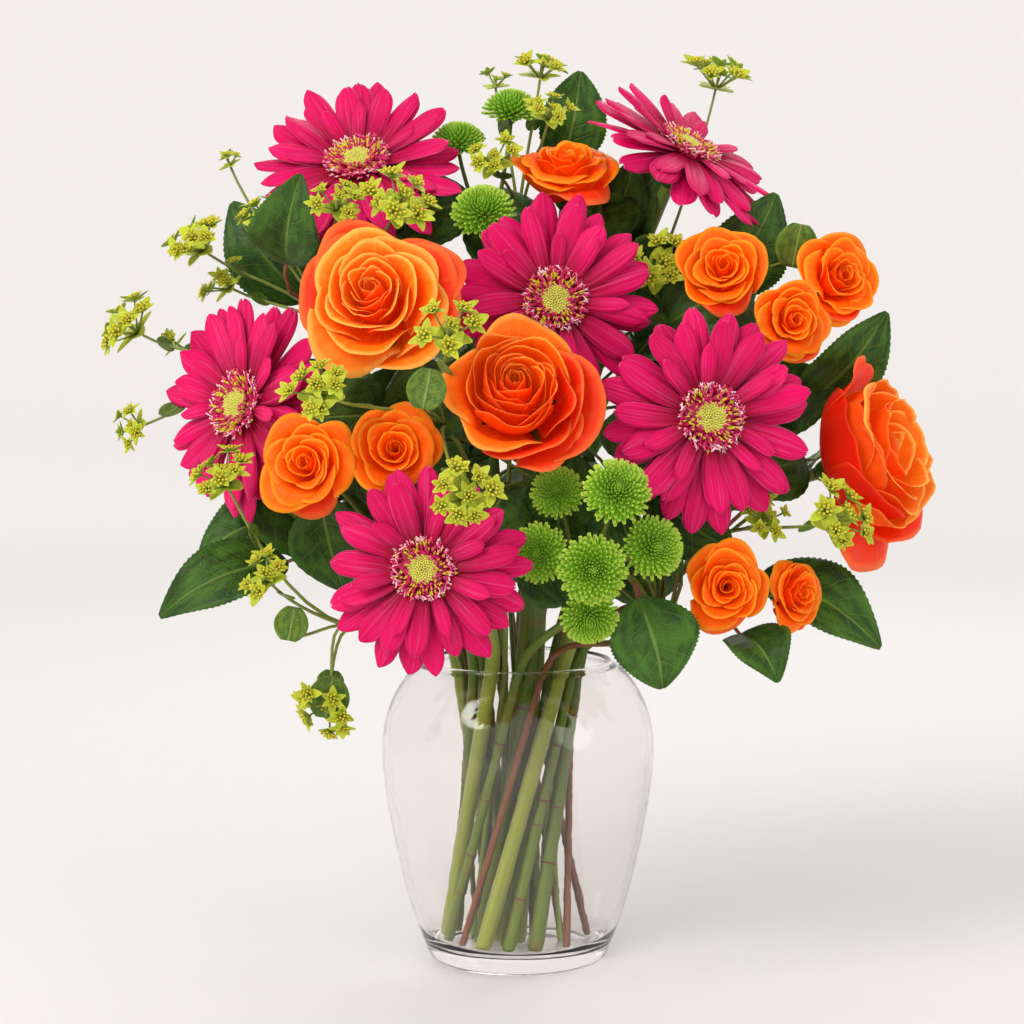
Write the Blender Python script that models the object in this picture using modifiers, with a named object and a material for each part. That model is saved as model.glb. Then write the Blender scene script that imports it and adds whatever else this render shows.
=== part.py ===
"""Gerberas in a glass vase: a hand-tied bunch of cut flowers and greens standing in a clear glass vase.

Metres, +Z up. The origin is the centre of the vase's foot, and the front of the bunch faces -Y.
Every stem runs straight from its cut end to the vase's neck, leaning the same way round as in a
spiral hand-tied bunch, so no two cross. Above the neck it fans out on a smooth curve to its bloom.
"""

import math

import bmesh
import bpy
from mathutils import Matrix, Vector
from mathutils.geometry import interpolate_bezier

# ---- vase ----
RIM_HEIGHT = 0.152
RIM_RADIUS = 0.0475
WALL = 0.003
FLOOR = 0.009
# height as a share of the rim's height, and the outer radius there
VASE_OUTLINE = [
    (0.96, 0.0540),
    (0.89, 0.0615),
    (0.80, 0.0666),
    (0.70, 0.0683),
    (0.55, 0.0663),
    (0.35, 0.0605),
    (0.15, 0.0525),
    (0.02, 0.0450),
]
FOOT_RADIUS = 0.0430
VASE_STEPS = 28

# ---- how the stems stand in the vase ----
NECK_HEIGHT = 0.148
FEET_SPREAD = 1.21  # the cut ends stand this much wider than the stems at the neck
FEET_TURN = math.radians(-74)  # and this far round the vase from them
FOOT_LIFT = 0.0012  # cut ends clear of the vase's floor

# ---- stem radii ----
GERBERA_STEM = 0.0030
ROSE_STEM = 0.0029
SPRAY_STEM = 0.0022
SPRAY_TWIG = 0.0013
MUM_STEM = 0.0022
MUM_TWIG = 0.0011
HARE_STEM = 0.0014
HARE_TWIG = 0.0008
LEAF_STEM = 0.0019
LEAF_TWIG = 0.0012
LEAF_THICKNESS = 0.0010
LEAF_ROOT = 0.0025  # how far a blade starts inside its stalk

# ---- each bloom: its centre, the way it looks, its radius, and its stem's (radius, degrees) at the neck ----
GERBERAS = [
    {"at": (-0.080, 0.004, 0.403), "look": (-0.12, -0.62, 0.78), "radius": 0.054, "neck": (0.019, 170)},
    {"at": (0.018, -0.060, 0.334), "look": (0.10, -0.97, 0.20), "radius": 0.051, "neck": (0.0085, 285)},
    {"at": (0.086, 0.004, 0.410), "look": (0.34, -0.42, 0.84), "radius": 0.053, "neck": (0.0085, 345)},
    {"at": (-0.138, -0.040, 0.283), "look": (-0.66, -0.70, 0.28), "radius": 0.055, "neck": (0.030, 178)},
    {"at": (0.090, -0.100, 0.280), "look": (0.22, -0.96, 0.16), "radius": 0.053, "neck": (0.030, 315)},
    {"at": (-0.044, -0.128, 0.212), "look": (-0.12, -0.98, 0.14), "radius": 0.049, "neck": (0.030, 244)},
]
ROSES = [
    {"at": (-0.066, -0.092, 0.335), "look": (-0.14, -0.92, 0.36), "radius": 0.037, "neck": (0.019, 210)},
    {"at": (0.000, -0.118, 0.292), "look": (0.02, -0.98, 0.18), "radius": 0.036, "neck": (0.019, 290)},
    {"at": (0.172, -0.036, 0.256), "look": (0.85, -0.48, 0.30), "radius": 0.037, "neck": (0.030, 357)},
]
SPRAY_ROSES = [
    {
        "neck": (0.030, 224),
        "fork": (-0.062, -0.064, 0.214),
        "blooms": [
            {"at": (-0.099, -0.097, 0.257), "look": (-0.30, -0.92, 0.22), "radius": 0.022},
            {"at": (-0.058, -0.102, 0.264), "look": (-0.04, -0.96, 0.26), "radius": 0.021},
        ],
    },
    {
        "neck": (0.019, 330),
        "fork": (0.094, -0.014, 0.288),
        "blooms": [
            {"at": (0.098, -0.044, 0.347), "look": (-0.08, -0.90, 0.42), "radius": 0.022},
            {"at": (0.157, -0.020, 0.342), "look": (0.40, -0.84, 0.34), "radius": 0.022},
            {"at": (0.131, -0.050, 0.322), "look": (0.28, -0.92, 0.20), "radius": 0.019},
        ],
    },
    {
        "neck": (0.030, 336),
        "fork": (0.082, -0.050, 0.180),
        "blooms": [
            {"at": (0.097, -0.094, 0.199), "look": (0.06, -0.98, 0.10), "radius": 0.020},
            {"at": (0.133, -0.070, 0.193), "look": (0.66, -0.74, 0.06), "radius": 0.017},
        ],
    },
    {
        "neck": (0.0085, 45),
        "fork": (0.016, 0.006, 0.330),
        "blooms": [{"at": (0.023, -0.008, 0.396), "look": (0.06, -0.46, 0.88), "radius": 0.025}],
    },
]
MUMS = [
    {
        "neck": (0.0085, 165),
        "fork": (-0.014, 0.012, 0.340),
        "blooms": [
            {"at": (-0.031, 0.024, 0.412), "look": (-0.16, -0.40, 0.90), "radius": 0.0145},
            {"at": (-0.003, 0.020, 0.428), "look": (0.06, -0.34, 0.94), "radius": 0.0150},
            {"at": (-0.017, -0.034, 0.377), "look": (-0.04, -0.74, 0.66), "radius": 0.0160},
        ],
    },
    {
        "neck": (0.030, 270),
        "fork": (0.026, -0.066, 0.184),
        "blooms": [
            {"at": (0.018, -0.094, 0.245), "look": (-0.10, -0.92, 0.38), "radius": 0.0130},
            {"at": (0.045, -0.134, 0.249), "look": (0.08, -0.92, 0.40), "radius": 0.0160},
            {"at": (0.063, -0.119, 0.221), "look": (0.34, -0.92, 0.14), "radius": 0.0150},
            {"at": (0.009, -0.106, 0.217), "look": (-0.22, -0.96, 0.06), "radius": 0.0145},
            {"at": (0.034, -0.132, 0.212), "look": (0.04, -0.99, 0.06), "radius": 0.0165},
            {"at": (0.033, -0.116, 0.187), "look": (0.06, -0.90, -0.36), "radius": 0.0140},
        ],
    },
]

# ---- hare's-ear sprigs: thin forked stems with a flat flower cluster, (x, y, z, radius), on each tip ----
HARES_EARS = [
    {
        "neck": (0.0085, 105),
        "fork": (0.000, 0.036, 0.372),
        "tips": [
            (-0.013, -0.006, 0.402, 0.010),
            (-0.012, 0.048, 0.443, 0.008),
            (0.012, 0.040, 0.449, 0.011),
            (0.016, 0.000, 0.425, 0.009),
        ],
    },
    {
        "neck": (0.019, 50),
        "fork": (0.066, 0.044, 0.330),
        "tips": [(0.104, 0.074, 0.446, 0.013), (0.068, -0.028, 0.350, 0.013)],
    },
    {
        "neck": (0.019, 130),
        "fork": (-0.092, 0.008, 0.316),
        "tips": [
            (-0.160, -0.004, 0.361, 0.012),
            (-0.148, 0.014, 0.341, 0.010),
            (-0.121, -0.008, 0.376, 0.013),
            (-0.146, 0.022, 0.402, 0.007),
            (-0.086, -0.064, 0.380, 0.010),
            (-0.056, -0.064, 0.381, 0.013),
        ],
    },
    {
        "neck": (0.0085, 225),
        "fork": (-0.128, -0.008, 0.300),
        "tips": [
            (-0.194, -0.006, 0.320, 0.013),
            (-0.192, -0.010, 0.270, 0.009),
            (-0.174, 0.010, 0.312, 0.008),
        ],
    },
    {
        "neck": (0.030, 202),
        "fork": (-0.082, -0.056, 0.176),
        "tips": [
            (-0.140, -0.084, 0.252, 0.012),
            (-0.120, -0.096, 0.206, 0.010),
            (-0.094, -0.060, 0.136, 0.012),
        ],
    },
    {
        "neck": (0.019, 250),
        "fork": (-0.034, -0.058, 0.272),
        "tips": [
            (-0.092, -0.130, 0.295, 0.012),
            (-0.032, -0.138, 0.322, 0.011),
            (-0.024, -0.162, 0.249, 0.012),
        ],
    },
    {
        "neck": (0.019, 10),
        "fork": (0.104, -0.052, 0.222),
        "tips": [(0.152, -0.086, 0.232, 0.013), (0.118, -0.072, 0.230, 0.009)],
    },
]

# ---- leafy branches: each leaf is (base, tip, the way its face looks, width) ----
LEAFY = [
    {
        "neck": (0.030, 150),
        "fork": (-0.070, 0.008, 0.230),
        "leaves": [
            ((-0.112, -0.044, 0.206), (-0.172, -0.066, 0.184), (-0.1, -0.8, 0.5), 0.034),
            ((-0.112, -0.012, 0.224), (-0.158, -0.024, 0.204), (-0.3, -0.7, 0.6), 0.034),
            ((-0.108, 0.040, 0.330), (-0.146, 0.042, 0.380), (-0.4, -0.9, 0.2), 0.038),
            ((-0.110, 0.040, 0.270), (-0.166, 0.060, 0.292), (-0.4, 0.5, 0.8), 0.038),
        ],
    },
    {
        "neck": (0.019, 90),
        "fork": (-0.016, 0.036, 0.300),
        "leaves": [
            ((-0.112, -0.040, 0.350), (-0.104, -0.062, 0.392), (-0.1, -1.0, 0.2), 0.034),
            ((0.022, 0.054, 0.398), (0.032, 0.056, 0.447), (0.2, -0.9, 0.3), 0.034),
            ((0.044, 0.026, 0.360), (0.058, 0.018, 0.400), (0.2, -0.9, 0.2), 0.030),
            ((-0.050, 0.058, 0.360), (-0.084, 0.076, 0.404), (-0.3, 0.7, 0.5), 0.038),
        ],
    },
    {
        "neck": (0.030, 25),
        "fork": (0.084, 0.018, 0.194),
        "leaves": [
            ((0.100, 0.014, 0.334), (0.128, 0.002, 0.384), (0.3, -0.9, 0.3), 0.040),
            ((0.142, 0.006, 0.280), (0.182, -0.010, 0.326), (0.5, -0.9, 0.2), 0.036),
            ((0.120, -0.014, 0.196), (0.178, -0.034, 0.163), (0.3, -0.9, 0.4), 0.036),
            ((0.140, 0.044, 0.236), (0.192, 0.066, 0.252), (0.4, 0.4, 0.8), 0.038),
        ],
    },
    {
        "neck": (0.030, 294),
        "fork": (0.058, -0.070, 0.172),
        "leaves": [
            ((0.056, -0.096, 0.195), (0.068, -0.098, 0.152), (0.2, -1.0, 0.2), 0.042),
            ((0.106, -0.070, 0.174), (0.122, -0.098, 0.156), (0.2, -0.9, 0.5), 0.032),
        ],
    },
    {
        "neck": (0.030, 85),
        "fork": (0.010, 0.062, 0.232),
        "leaves": [
            ((-0.050, 0.094, 0.250), (-0.096, 0.120, 0.236), (-0.3, 0.8, 0.6), 0.040),
            ((0.010, 0.112, 0.236), (0.012, 0.150, 0.206), (0.0, 0.7, 0.7), 0.042),
            ((0.066, 0.092, 0.262), (0.112, 0.114, 0.270), (0.3, 0.8, 0.6), 0.040),
            ((0.028, 0.096, 0.316), (0.050, 0.116, 0.362), (0.2, 0.9, 0.4), 0.038),
            ((-0.024, 0.092, 0.300), (-0.052, 0.118, 0.340), (-0.2, 0.9, 0.4), 0.038),
        ],
    },
]

# ---- bloom sections from the middle of the front to the back: radius and height as shares of the
# bloom's own radius, and how deep the lobes cut in there ----
GERBERA_PETALS = [
    (0.00, -0.12, 0),
    (0.35, -0.08, 0),
    (0.70, 0.03, 0.03),
    (0.94, 0.09, 0.07),
    (0.93, 0.06, 0.07),
    (0.66, -0.03, 0.03),
    (0.17, -0.215, 0),
    (0.00, -0.22, 0),
]
GERBERA_DISC = [
    (0.00, 0.05, 0),
    (0.18, 0.03, 0),
    (0.31, -0.03, 0.04),
    (0.29, -0.078, 0),
    (0.17, -0.092, 0),
    (0.00, -0.112, 0),
]
GERBERA_CALYX = [
    (0.00, -0.23, 0),
    (0.15, -0.225, 0.1),
    (0.16, -0.27, 0.1),
    (0.10, -0.37, 0),
    (0.055, -0.47, 0),
    (0.00, -0.47, 0),
]
ROSE_BLOOM = [
    (0.00, 0.36, 0),
    (0.25, 0.34, 0),
    (0.42, 0.22, 0),
    (0.60, 0.30, 0.04),
    (0.82, 0.12, 0),
    (0.96, 0.14, 0.04),
    (0.90, -0.10, 0.04),
    (0.60, -0.42, 0),
    (0.20, -0.60, 0),
    (0.00, -0.61, 0),
]
ROSE_HIP = [
    (0.00, -0.63, 0),
    (0.17, -0.625, 0.15),
    (0.17, -0.70, 0),
    (0.13, -0.82, 0),
    (0.08, -0.90, 0),
    (0.00, -0.90, 0),
]
SPRAY_BLOOM = [
    (0.00, 0.34, 0),
    (0.40, 0.28, 0),
    (0.80, 0.24, 0.05),
    (0.97, 0.10, 0.05),
    (0.82, -0.25, 0),
    (0.22, -0.60, 0),
    (0.00, -0.61, 0),
]
SPRAY_HIP = [(0.00, -0.64, 0), (0.20, -0.63, 0), (0.16, -0.82, 0), (0.07, -0.95, 0), (0, -0.95, 0)]
MUM_BLOOM = [
    (0.00, 0.60, 0),
    (0.56, 0.48, 0),
    (0.95, 0.05, 0.04),
    (0.86, -0.22, 0.04),
    (0.25, -0.40, 0),
    (0.00, -0.41, 0),
]
MUM_CALYX = [(0.00, -0.45, 0), (0.24, -0.44, 0), (0.17, -0.56, 0), (0.08, -0.66, 0), (0, -0.66, 0)]
HARE_CLUSTER = [(0.00, 0.40, 0), (0.70, 0.25, 0), (1.00, 0.00, 0), (0.30, -0.45, 0), (0.00, -0.50, 0)]

GERBERA_LOBES, GERBERA_SEGMENTS = 18, 36
ROSE_LOBES, ROSE_SEGMENTS, SPRAY_SEGMENTS = 5, 20, 15
MUM_LOBES, MUM_SEGMENTS = 6, 12


def clear_scene():
    for obj in list(bpy.data.objects):
        bpy.data.objects.remove(obj, do_unlink=True)


def new_collection(name):
    collection = bpy.data.collections.new(name)
    bpy.context.scene.collection.children.link(collection)
    return collection


def new_material(name, colour, roughness, transmission=0.0):
    material = bpy.data.materials.new(name)
    material.use_nodes = True
    material.diffuse_color = (*colour, 1)
    shader = material.node_tree.nodes["Principled BSDF"]
    shader.inputs["Base Color"].default_value = (*colour, 1)
    shader.inputs["Roughness"].default_value = roughness
    shader.inputs["Metallic"].default_value = 0
    shader.inputs["Transmission Weight"].default_value = transmission
    return material


def add_object(name, data, collection, material):
    obj = bpy.data.objects.new(name, data)
    collection.objects.link(obj)
    data.materials.append(material)
    return obj


def facing(at, look):
    """The matrix that puts a bloom's centre at a point with its front turned along look."""
    return Matrix.Translation(at) @ Vector(look).to_track_quat("Z", "Y").to_matrix().to_4x4()


def round_body(name, rows, size, segments, lobes, material, collection):
    """A closed round body: a UV sphere whose rings take each row's radius, height and lobe depth."""
    bm = bmesh.new()
    bmesh.ops.create_uvsphere(bm, u_segments=segments, v_segments=len(rows) - 1, radius=1)
    for vert in bm.verts:
        row = round(math.acos(max(-1, min(1, vert.co.z))) / math.pi * (len(rows) - 1))
        turn = math.atan2(vert.co.y, vert.co.x)
        radius, height, lobe = rows[row]
        radius *= size * (1 + lobe * math.cos(lobes * turn))
        vert.co = (radius * math.cos(turn), radius * math.sin(turn), height * size)
    mesh = bpy.data.meshes.new(name)
    bm.to_mesh(mesh)
    bm.free()
    mesh.shade_smooth()
    return add_object(name, mesh, collection, material)


def tube(name, points, radius, material, collection, resolution=0, tip=1.0):
    """A round stem along the points, tapering to tip times its radius, as a closed mesh object."""
    curve = bpy.data.curves.new(name, "CURVE")
    curve.dimensions = "3D"
    curve.bevel_depth = radius
    curve.bevel_resolution = resolution
    curve.use_fill_caps = True
    spline = curve.splines.new("POLY")
    spline.points.add(len(points) - 1)
    for i, point in enumerate(points):
        spline.points[i].co = (*point, 1)
        spline.points[i].radius = 1 + (tip - 1) * i / (len(points) - 1)
    guide = bpy.data.objects.new(name + "_guide", curve)
    collection.objects.link(guide)
    bpy.context.view_layer.update()
    mesh = bpy.data.meshes.new_from_object(guide.evaluated_get(bpy.context.evaluated_depsgraph_get()))
    bm = bmesh.new()
    bm.from_mesh(mesh)
    bmesh.ops.remove_doubles(bm, verts=bm.verts, dist=1e-5)
    bm.to_mesh(mesh)
    bm.free()
    mesh.shade_smooth()
    mesh.name = name
    mesh.materials.clear()
    bpy.data.objects.remove(guide, do_unlink=True)
    return add_object(name, mesh, collection, material)


def unite(base, others):
    """Joins helper bodies to the base with Boolean unions."""
    for other in others:
        other.hide_render = True
        other.display_type = "WIRE"
        join = base.modifiers.new("join " + other.name, "BOOLEAN")
        join.operation = "UNION"
        join.solver = "MANIFOLD"
        join.object = other


def neck_point(neck):
    radius, degrees = neck
    turn = math.radians(degrees)
    return Vector((radius * math.cos(turn), radius * math.sin(turn), NECK_HEIGHT))


def foot_point(neck):
    point = neck_point(neck) * FEET_SPREAD
    point.rotate(Matrix.Rotation(FEET_TURN, 3, "Z"))
    point.z = FLOOR + FOOT_LIFT
    return point


def smooth_run(start, start_way, end, end_way, steps):
    """A smooth curve that leaves start along start_way and arrives at end along end_way."""
    reach = (end - start).length
    leave = start + start_way.normalized() * reach * 0.38
    arrive = end - end_way.normalized() * reach * 0.30
    return interpolate_bezier(start, leave, arrive, end, steps)


def main_stem(neck, end, end_way, steps=7):
    """The stem's line: straight from its cut end to the neck, then fanning out to the end."""
    foot = foot_point(neck)
    throat = neck_point(neck)
    return [foot] + smooth_run(throat, throat - foot, end, end_way, steps)


def twig_line(stem_line, count, end, end_way, steps=4):
    """A side stem that leaves the main stem near its tip, each a little lower than the last."""
    start = stem_line[-1].lerp(stem_line[-2], 0.12 * (count + 1))
    return smooth_run(start, stem_line[-1] - stem_line[-2], end, end_way, steps)


def vase(material, collection):
    height = RIM_HEIGHT
    outside = [(RIM_RADIUS, height - 0.0012)]
    outside += [(radius, share * height) for share, radius in VASE_OUTLINE]
    inside = [(radius - WALL, z) for radius, z in outside if z > FLOOR + 0.004]
    floor_edge = FOOT_RADIUS - WALL
    profile = [(0, FLOOR), (floor_edge * 0.5, FLOOR), (floor_edge, FLOOR)]
    profile += [(floor_edge + 0.0035, FLOOR + 0.002)]
    profile += inside[::-1]
    profile += [(RIM_RADIUS - WALL * 0.7, height), (RIM_RADIUS - WALL * 0.3, height)]
    profile += outside
    profile += [(FOOT_RADIUS, 0), (FOOT_RADIUS * 0.5, 0), (0, 0)]
    mesh = bpy.data.meshes.new("vase")
    edges = [(i, i + 1) for i in range(len(profile) - 1)]
    mesh.from_pydata([(radius, 0, z) for radius, z in profile], edges, [])
    obj = add_object("vase", mesh, collection, material)
    screw = obj.modifiers.new("turn", "SCREW")
    screw.steps = VASE_STEPS
    screw.render_steps = VASE_STEPS
    screw.use_merge_vertices = True
    screw.merge_threshold = 0.0001
    screw.use_smooth_shade = True
    return obj


def behind(bloom, share):
    """The point on a bloom's axis at this share of its radius, behind its centre when negative."""
    return facing(bloom["at"], bloom["look"]) @ Vector((0, 0, share * bloom["radius"]))


def gerbera(number, plan, materials, parts, helpers):
    name = f"gerbera_{number}"
    place = facing(plan["at"], plan["look"])
    size = plan["radius"]
    pink = materials["gerbera_petal"]
    petals = round_body(name + "_petals", GERBERA_PETALS, size, GERBERA_SEGMENTS, GERBERA_LOBES, pink, parts)
    disc = round_body(name + "_disc", GERBERA_DISC, size, 12, 6, materials["gerbera_disc"], parts)
    calyx = round_body(name + "_calyx", GERBERA_CALYX, size, 10, 5, materials["gerbera_stem"], helpers)
    for piece in (petals, disc, calyx):
        piece.matrix_world = place
    line = main_stem(plan["neck"], behind(plan, -0.42), Vector(plan["look"]))
    stem = tube(name + "_stem", line, GERBERA_STEM, materials["gerbera_stem"], parts, 2, 0.85)
    unite(stem, [calyx])


def rose(number, plan, materials, parts, helpers):
    name = f"rose_{number}"
    place = facing(plan["at"], plan["look"])
    size = plan["radius"]
    orange = materials["rose_petal"]
    bloom = round_body(name + "_bloom", ROSE_BLOOM, size, ROSE_SEGMENTS, ROSE_LOBES, orange, parts)
    hip = round_body(name + "_hip", ROSE_HIP, size, 10, 5, materials["rose_stem"], helpers)
    for piece in (bloom, hip):
        piece.matrix_world = place
    line = main_stem(plan["neck"], behind(plan, -0.80), Vector(plan["look"]))
    stem = tube(name + "_stem", line, ROSE_STEM, materials["rose_stem"], parts, 2, 0.85)
    unite(stem, [hip])


def many_headed(kind, number, first_bloom, plan, shape, materials, parts, helpers):
    """One stem that forks to several blooms. Returns the next bloom's number."""
    blooms = plan["blooms"]
    fork = Vector(plan["fork"])
    middle = sum((Vector(bloom["at"]) for bloom in blooms), Vector()) / len(blooms)
    line = main_stem(plan["neck"], fork, middle - fork)
    green = materials[shape["green"]]
    petal = materials[shape["petal"]]
    stem = tube(f"{kind}_stem_{number}", line, shape["stem"], green, parts, 1, 0.8)
    joined = []
    for count, bloom in enumerate(blooms):
        place = facing(bloom["at"], bloom["look"])
        name = f"{kind}_{first_bloom + count}"
        size = bloom["radius"]
        segments = shape["segments"]
        body = round_body(name + "_bloom", shape["rows"], size, segments, shape["lobes"], petal, parts)
        base = round_body(name + "_base", shape["base"], size, 8, 4, green, helpers)
        for piece in (body, base):
            piece.matrix_world = place
        way = Vector(bloom["look"])
        side = twig_line(line, count, behind(bloom, shape["base"][2][1]), way)
        twig = tube(name + "_twig", side, shape["twig"], green, helpers)
        joined += [twig, base]
    unite(stem, joined)
    return first_bloom + len(blooms)


def hares_ear(number, plan, materials, parts, helpers):
    fork = Vector(plan["fork"])
    tips = [Vector(tip[:3]) for tip in plan["tips"]]
    middle = sum(tips, Vector()) / len(tips)
    line = main_stem(plan["neck"], fork, middle - fork)
    green = materials["hares_ear"]
    stem = tube(f"hares_ear_{number}", line, HARE_STEM, green, parts, 1, 0.8)
    joined = []
    for count, tip in enumerate(plan["tips"]):
        end = Vector(tip[:3])
        look = Vector((end - fork).normalized() + Vector((0, -0.5, 0.6)))
        name = f"hares_ear_{number}_tip_{count + 1}"
        cluster = round_body(name, HARE_CLUSTER, tip[3], 7, 0, green, helpers)
        cluster.matrix_world = facing(end, look)
        side = twig_line(line, count, end, look)
        joined += [tube(name + "_twig", side, HARE_TWIG, green, helpers), cluster]
    unite(stem, joined)


def leaf_blade(name, leaf, material, collection):
    """An oval leaf with a drooping tip and its halves folded up along the midrib, as a thin closed blade."""
    base, tip, look, width = leaf
    base = Vector(base)
    along = Vector(tip) - base
    length = along.length
    bm = bmesh.new()
    bmesh.ops.create_grid(bm, x_segments=4, y_segments=2, size=1)
    for vert in bm.verts:
        share = (vert.co.x + 1) / 2
        half = 0.5 * width * math.sin(math.pi * share**0.85) ** 0.8 + LEAF_TWIG
        sag = 0.16 * length * math.sin(math.pi * share)
        vert.co = (share * length - LEAF_ROOT, vert.co.y * half, sag + 0.18 * abs(vert.co.y) * half)
    mesh = bpy.data.meshes.new(name)
    bm.to_mesh(mesh)
    bm.free()
    mesh.shade_smooth()
    x_way = along.normalized()
    y_way = Vector(look).cross(x_way).normalized()
    z_way = x_way.cross(y_way)
    obj = add_object(name, mesh, collection, material)
    obj.matrix_world = Matrix.Translation(base) @ Matrix((x_way, y_way, z_way)).transposed().to_4x4()
    solid = obj.modifiers.new("thickness", "SOLIDIFY")
    solid.thickness = LEAF_THICKNESS
    solid.offset = 0
    return obj


def leafy_branch(number, plan, materials, parts, helpers):
    fork = Vector(plan["fork"])
    bases = [Vector(leaf[0]) for leaf in plan["leaves"]]
    middle = sum(bases, Vector()) / len(bases)
    line = main_stem(plan["neck"], fork, middle - fork + Vector((0, 0, 0.02)))
    stem = tube(f"leafy_branch_{number}", line, LEAF_STEM, materials["leaf"], parts, 1, 0.8)
    joined = []
    for count, leaf in enumerate(plan["leaves"]):
        name = f"leafy_branch_{number}_leaf_{count + 1}"
        base = Vector(leaf[0])
        way = (Vector(leaf[1]) - base).normalized()
        blade = leaf_blade(name, leaf, materials["leaf"], helpers)
        side = twig_line(line, count, base - way * 2 * LEAF_ROOT, way) + [base + way * LEAF_ROOT]
        joined += [tube(name + "_stalk", side, LEAF_TWIG, materials["leaf"], helpers), blade]
    unite(stem, joined)


def main():
    clear_scene()
    parts = new_collection("gerberas_in_vase")
    helpers = new_collection("joined_shapes")
    helpers.hide_render = True
    materials = {
        "vase_glass": new_material("vase_glass", (0.93, 0.95, 0.95), 0.03, transmission=1.0),
        "gerbera_petal": new_material("gerbera_petal", (0.80, 0.02, 0.18), 0.55),
        "gerbera_disc": new_material("gerbera_disc", (0.62, 0.55, 0.20), 0.80),
        "gerbera_stem": new_material("gerbera_stem", (0.36, 0.46, 0.18), 0.60),
        "rose_petal": new_material("rose_petal", (0.95, 0.30, 0.04), 0.55),
        "spray_rose_petal": new_material("spray_rose_petal", (0.98, 0.24, 0.02), 0.55),
        "rose_stem": new_material("rose_stem", (0.16, 0.27, 0.07), 0.50),
        "mum_petal": new_material("mum_petal", (0.22, 0.46, 0.06), 0.65),
        "hares_ear": new_material("hares_ear", (0.50, 0.55, 0.09), 0.60),
        "leaf": new_material("leaf", (0.05, 0.16, 0.04), 0.40),
    }
    spray_shape = {
        "stem": SPRAY_STEM,
        "twig": SPRAY_TWIG,
        "rows": SPRAY_BLOOM,
        "base": SPRAY_HIP,
        "segments": SPRAY_SEGMENTS,
        "lobes": ROSE_LOBES,
        "petal": "spray_rose_petal",
        "green": "rose_stem",
    }
    mum_shape = {
        "stem": MUM_STEM,
        "twig": MUM_TWIG,
        "rows": MUM_BLOOM,
        "base": MUM_CALYX,
        "segments": MUM_SEGMENTS,
        "lobes": MUM_LOBES,
        "petal": "mum_petal",
        "green": "rose_stem",
    }
    vase(materials["vase_glass"], parts)
    for number, plan in enumerate(GERBERAS, 1):
        gerbera(number, plan, materials, parts, helpers)
    for number, plan in enumerate(ROSES, 1):
        rose(number, plan, materials, parts, helpers)
    bloom = 1
    for number, plan in enumerate(SPRAY_ROSES, 1):
        bloom = many_headed("spray_rose", number, bloom, plan, spray_shape, materials, parts, helpers)
    bloom = 1
    for number, plan in enumerate(MUMS, 1):
        bloom = many_headed("mum", number, bloom, plan, mum_shape, materials, parts, helpers)
    for number, plan in enumerate(HARES_EARS, 1):
        hares_ear(number, plan, materials, parts, helpers)
    for number, plan in enumerate(LEAFY, 1):
        leafy_branch(number, plan, materials, parts, helpers)


main()
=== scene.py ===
# Gerberas in a vase: the looks of a mixed, hand-tied bunch in clear glass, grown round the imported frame.
import math
import random
from functools import partial

import bpy
import numpy as np
from mathutils import Matrix, Vector
from mathutils.geometry import interpolate_bezier


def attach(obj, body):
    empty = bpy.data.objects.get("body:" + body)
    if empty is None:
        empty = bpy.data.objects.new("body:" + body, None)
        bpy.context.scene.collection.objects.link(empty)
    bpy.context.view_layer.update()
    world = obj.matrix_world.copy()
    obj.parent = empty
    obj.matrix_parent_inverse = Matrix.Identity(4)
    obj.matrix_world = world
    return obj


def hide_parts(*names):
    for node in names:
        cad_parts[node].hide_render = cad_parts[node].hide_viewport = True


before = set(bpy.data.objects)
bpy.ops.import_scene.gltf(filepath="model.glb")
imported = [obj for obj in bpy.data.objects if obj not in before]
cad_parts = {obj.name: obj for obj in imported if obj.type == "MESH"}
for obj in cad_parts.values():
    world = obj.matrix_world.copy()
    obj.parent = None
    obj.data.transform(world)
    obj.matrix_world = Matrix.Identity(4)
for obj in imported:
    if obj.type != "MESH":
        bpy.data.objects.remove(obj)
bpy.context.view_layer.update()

golden = 2.39996  # the golden angle, in radians


def tint(red, green, blue):
    # a screen colour, turned into the linear one that shaders take
    return tuple(((level / 255 + 0.055) / 1.055) ** 2.4 for level in (red, green, blue)) + (1.0,)


# ---------- meshes: every piece is poured together from thin sheets and tubes ----------


def newBag():
    return {"points": [], "growth": [], "side": [], "faces": [], "slots": [], "count": 0}


def pour(bag, points, growth, side, faces, slot):
    bag["points"].append(points)
    bag["growth"].append(growth)
    bag["side"].append(side)
    for part in faces:
        bag["faces"].append(part + bag["count"])
        bag["slots"].append(np.full(len(part), slot))
    bag["count"] += len(points)


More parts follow.
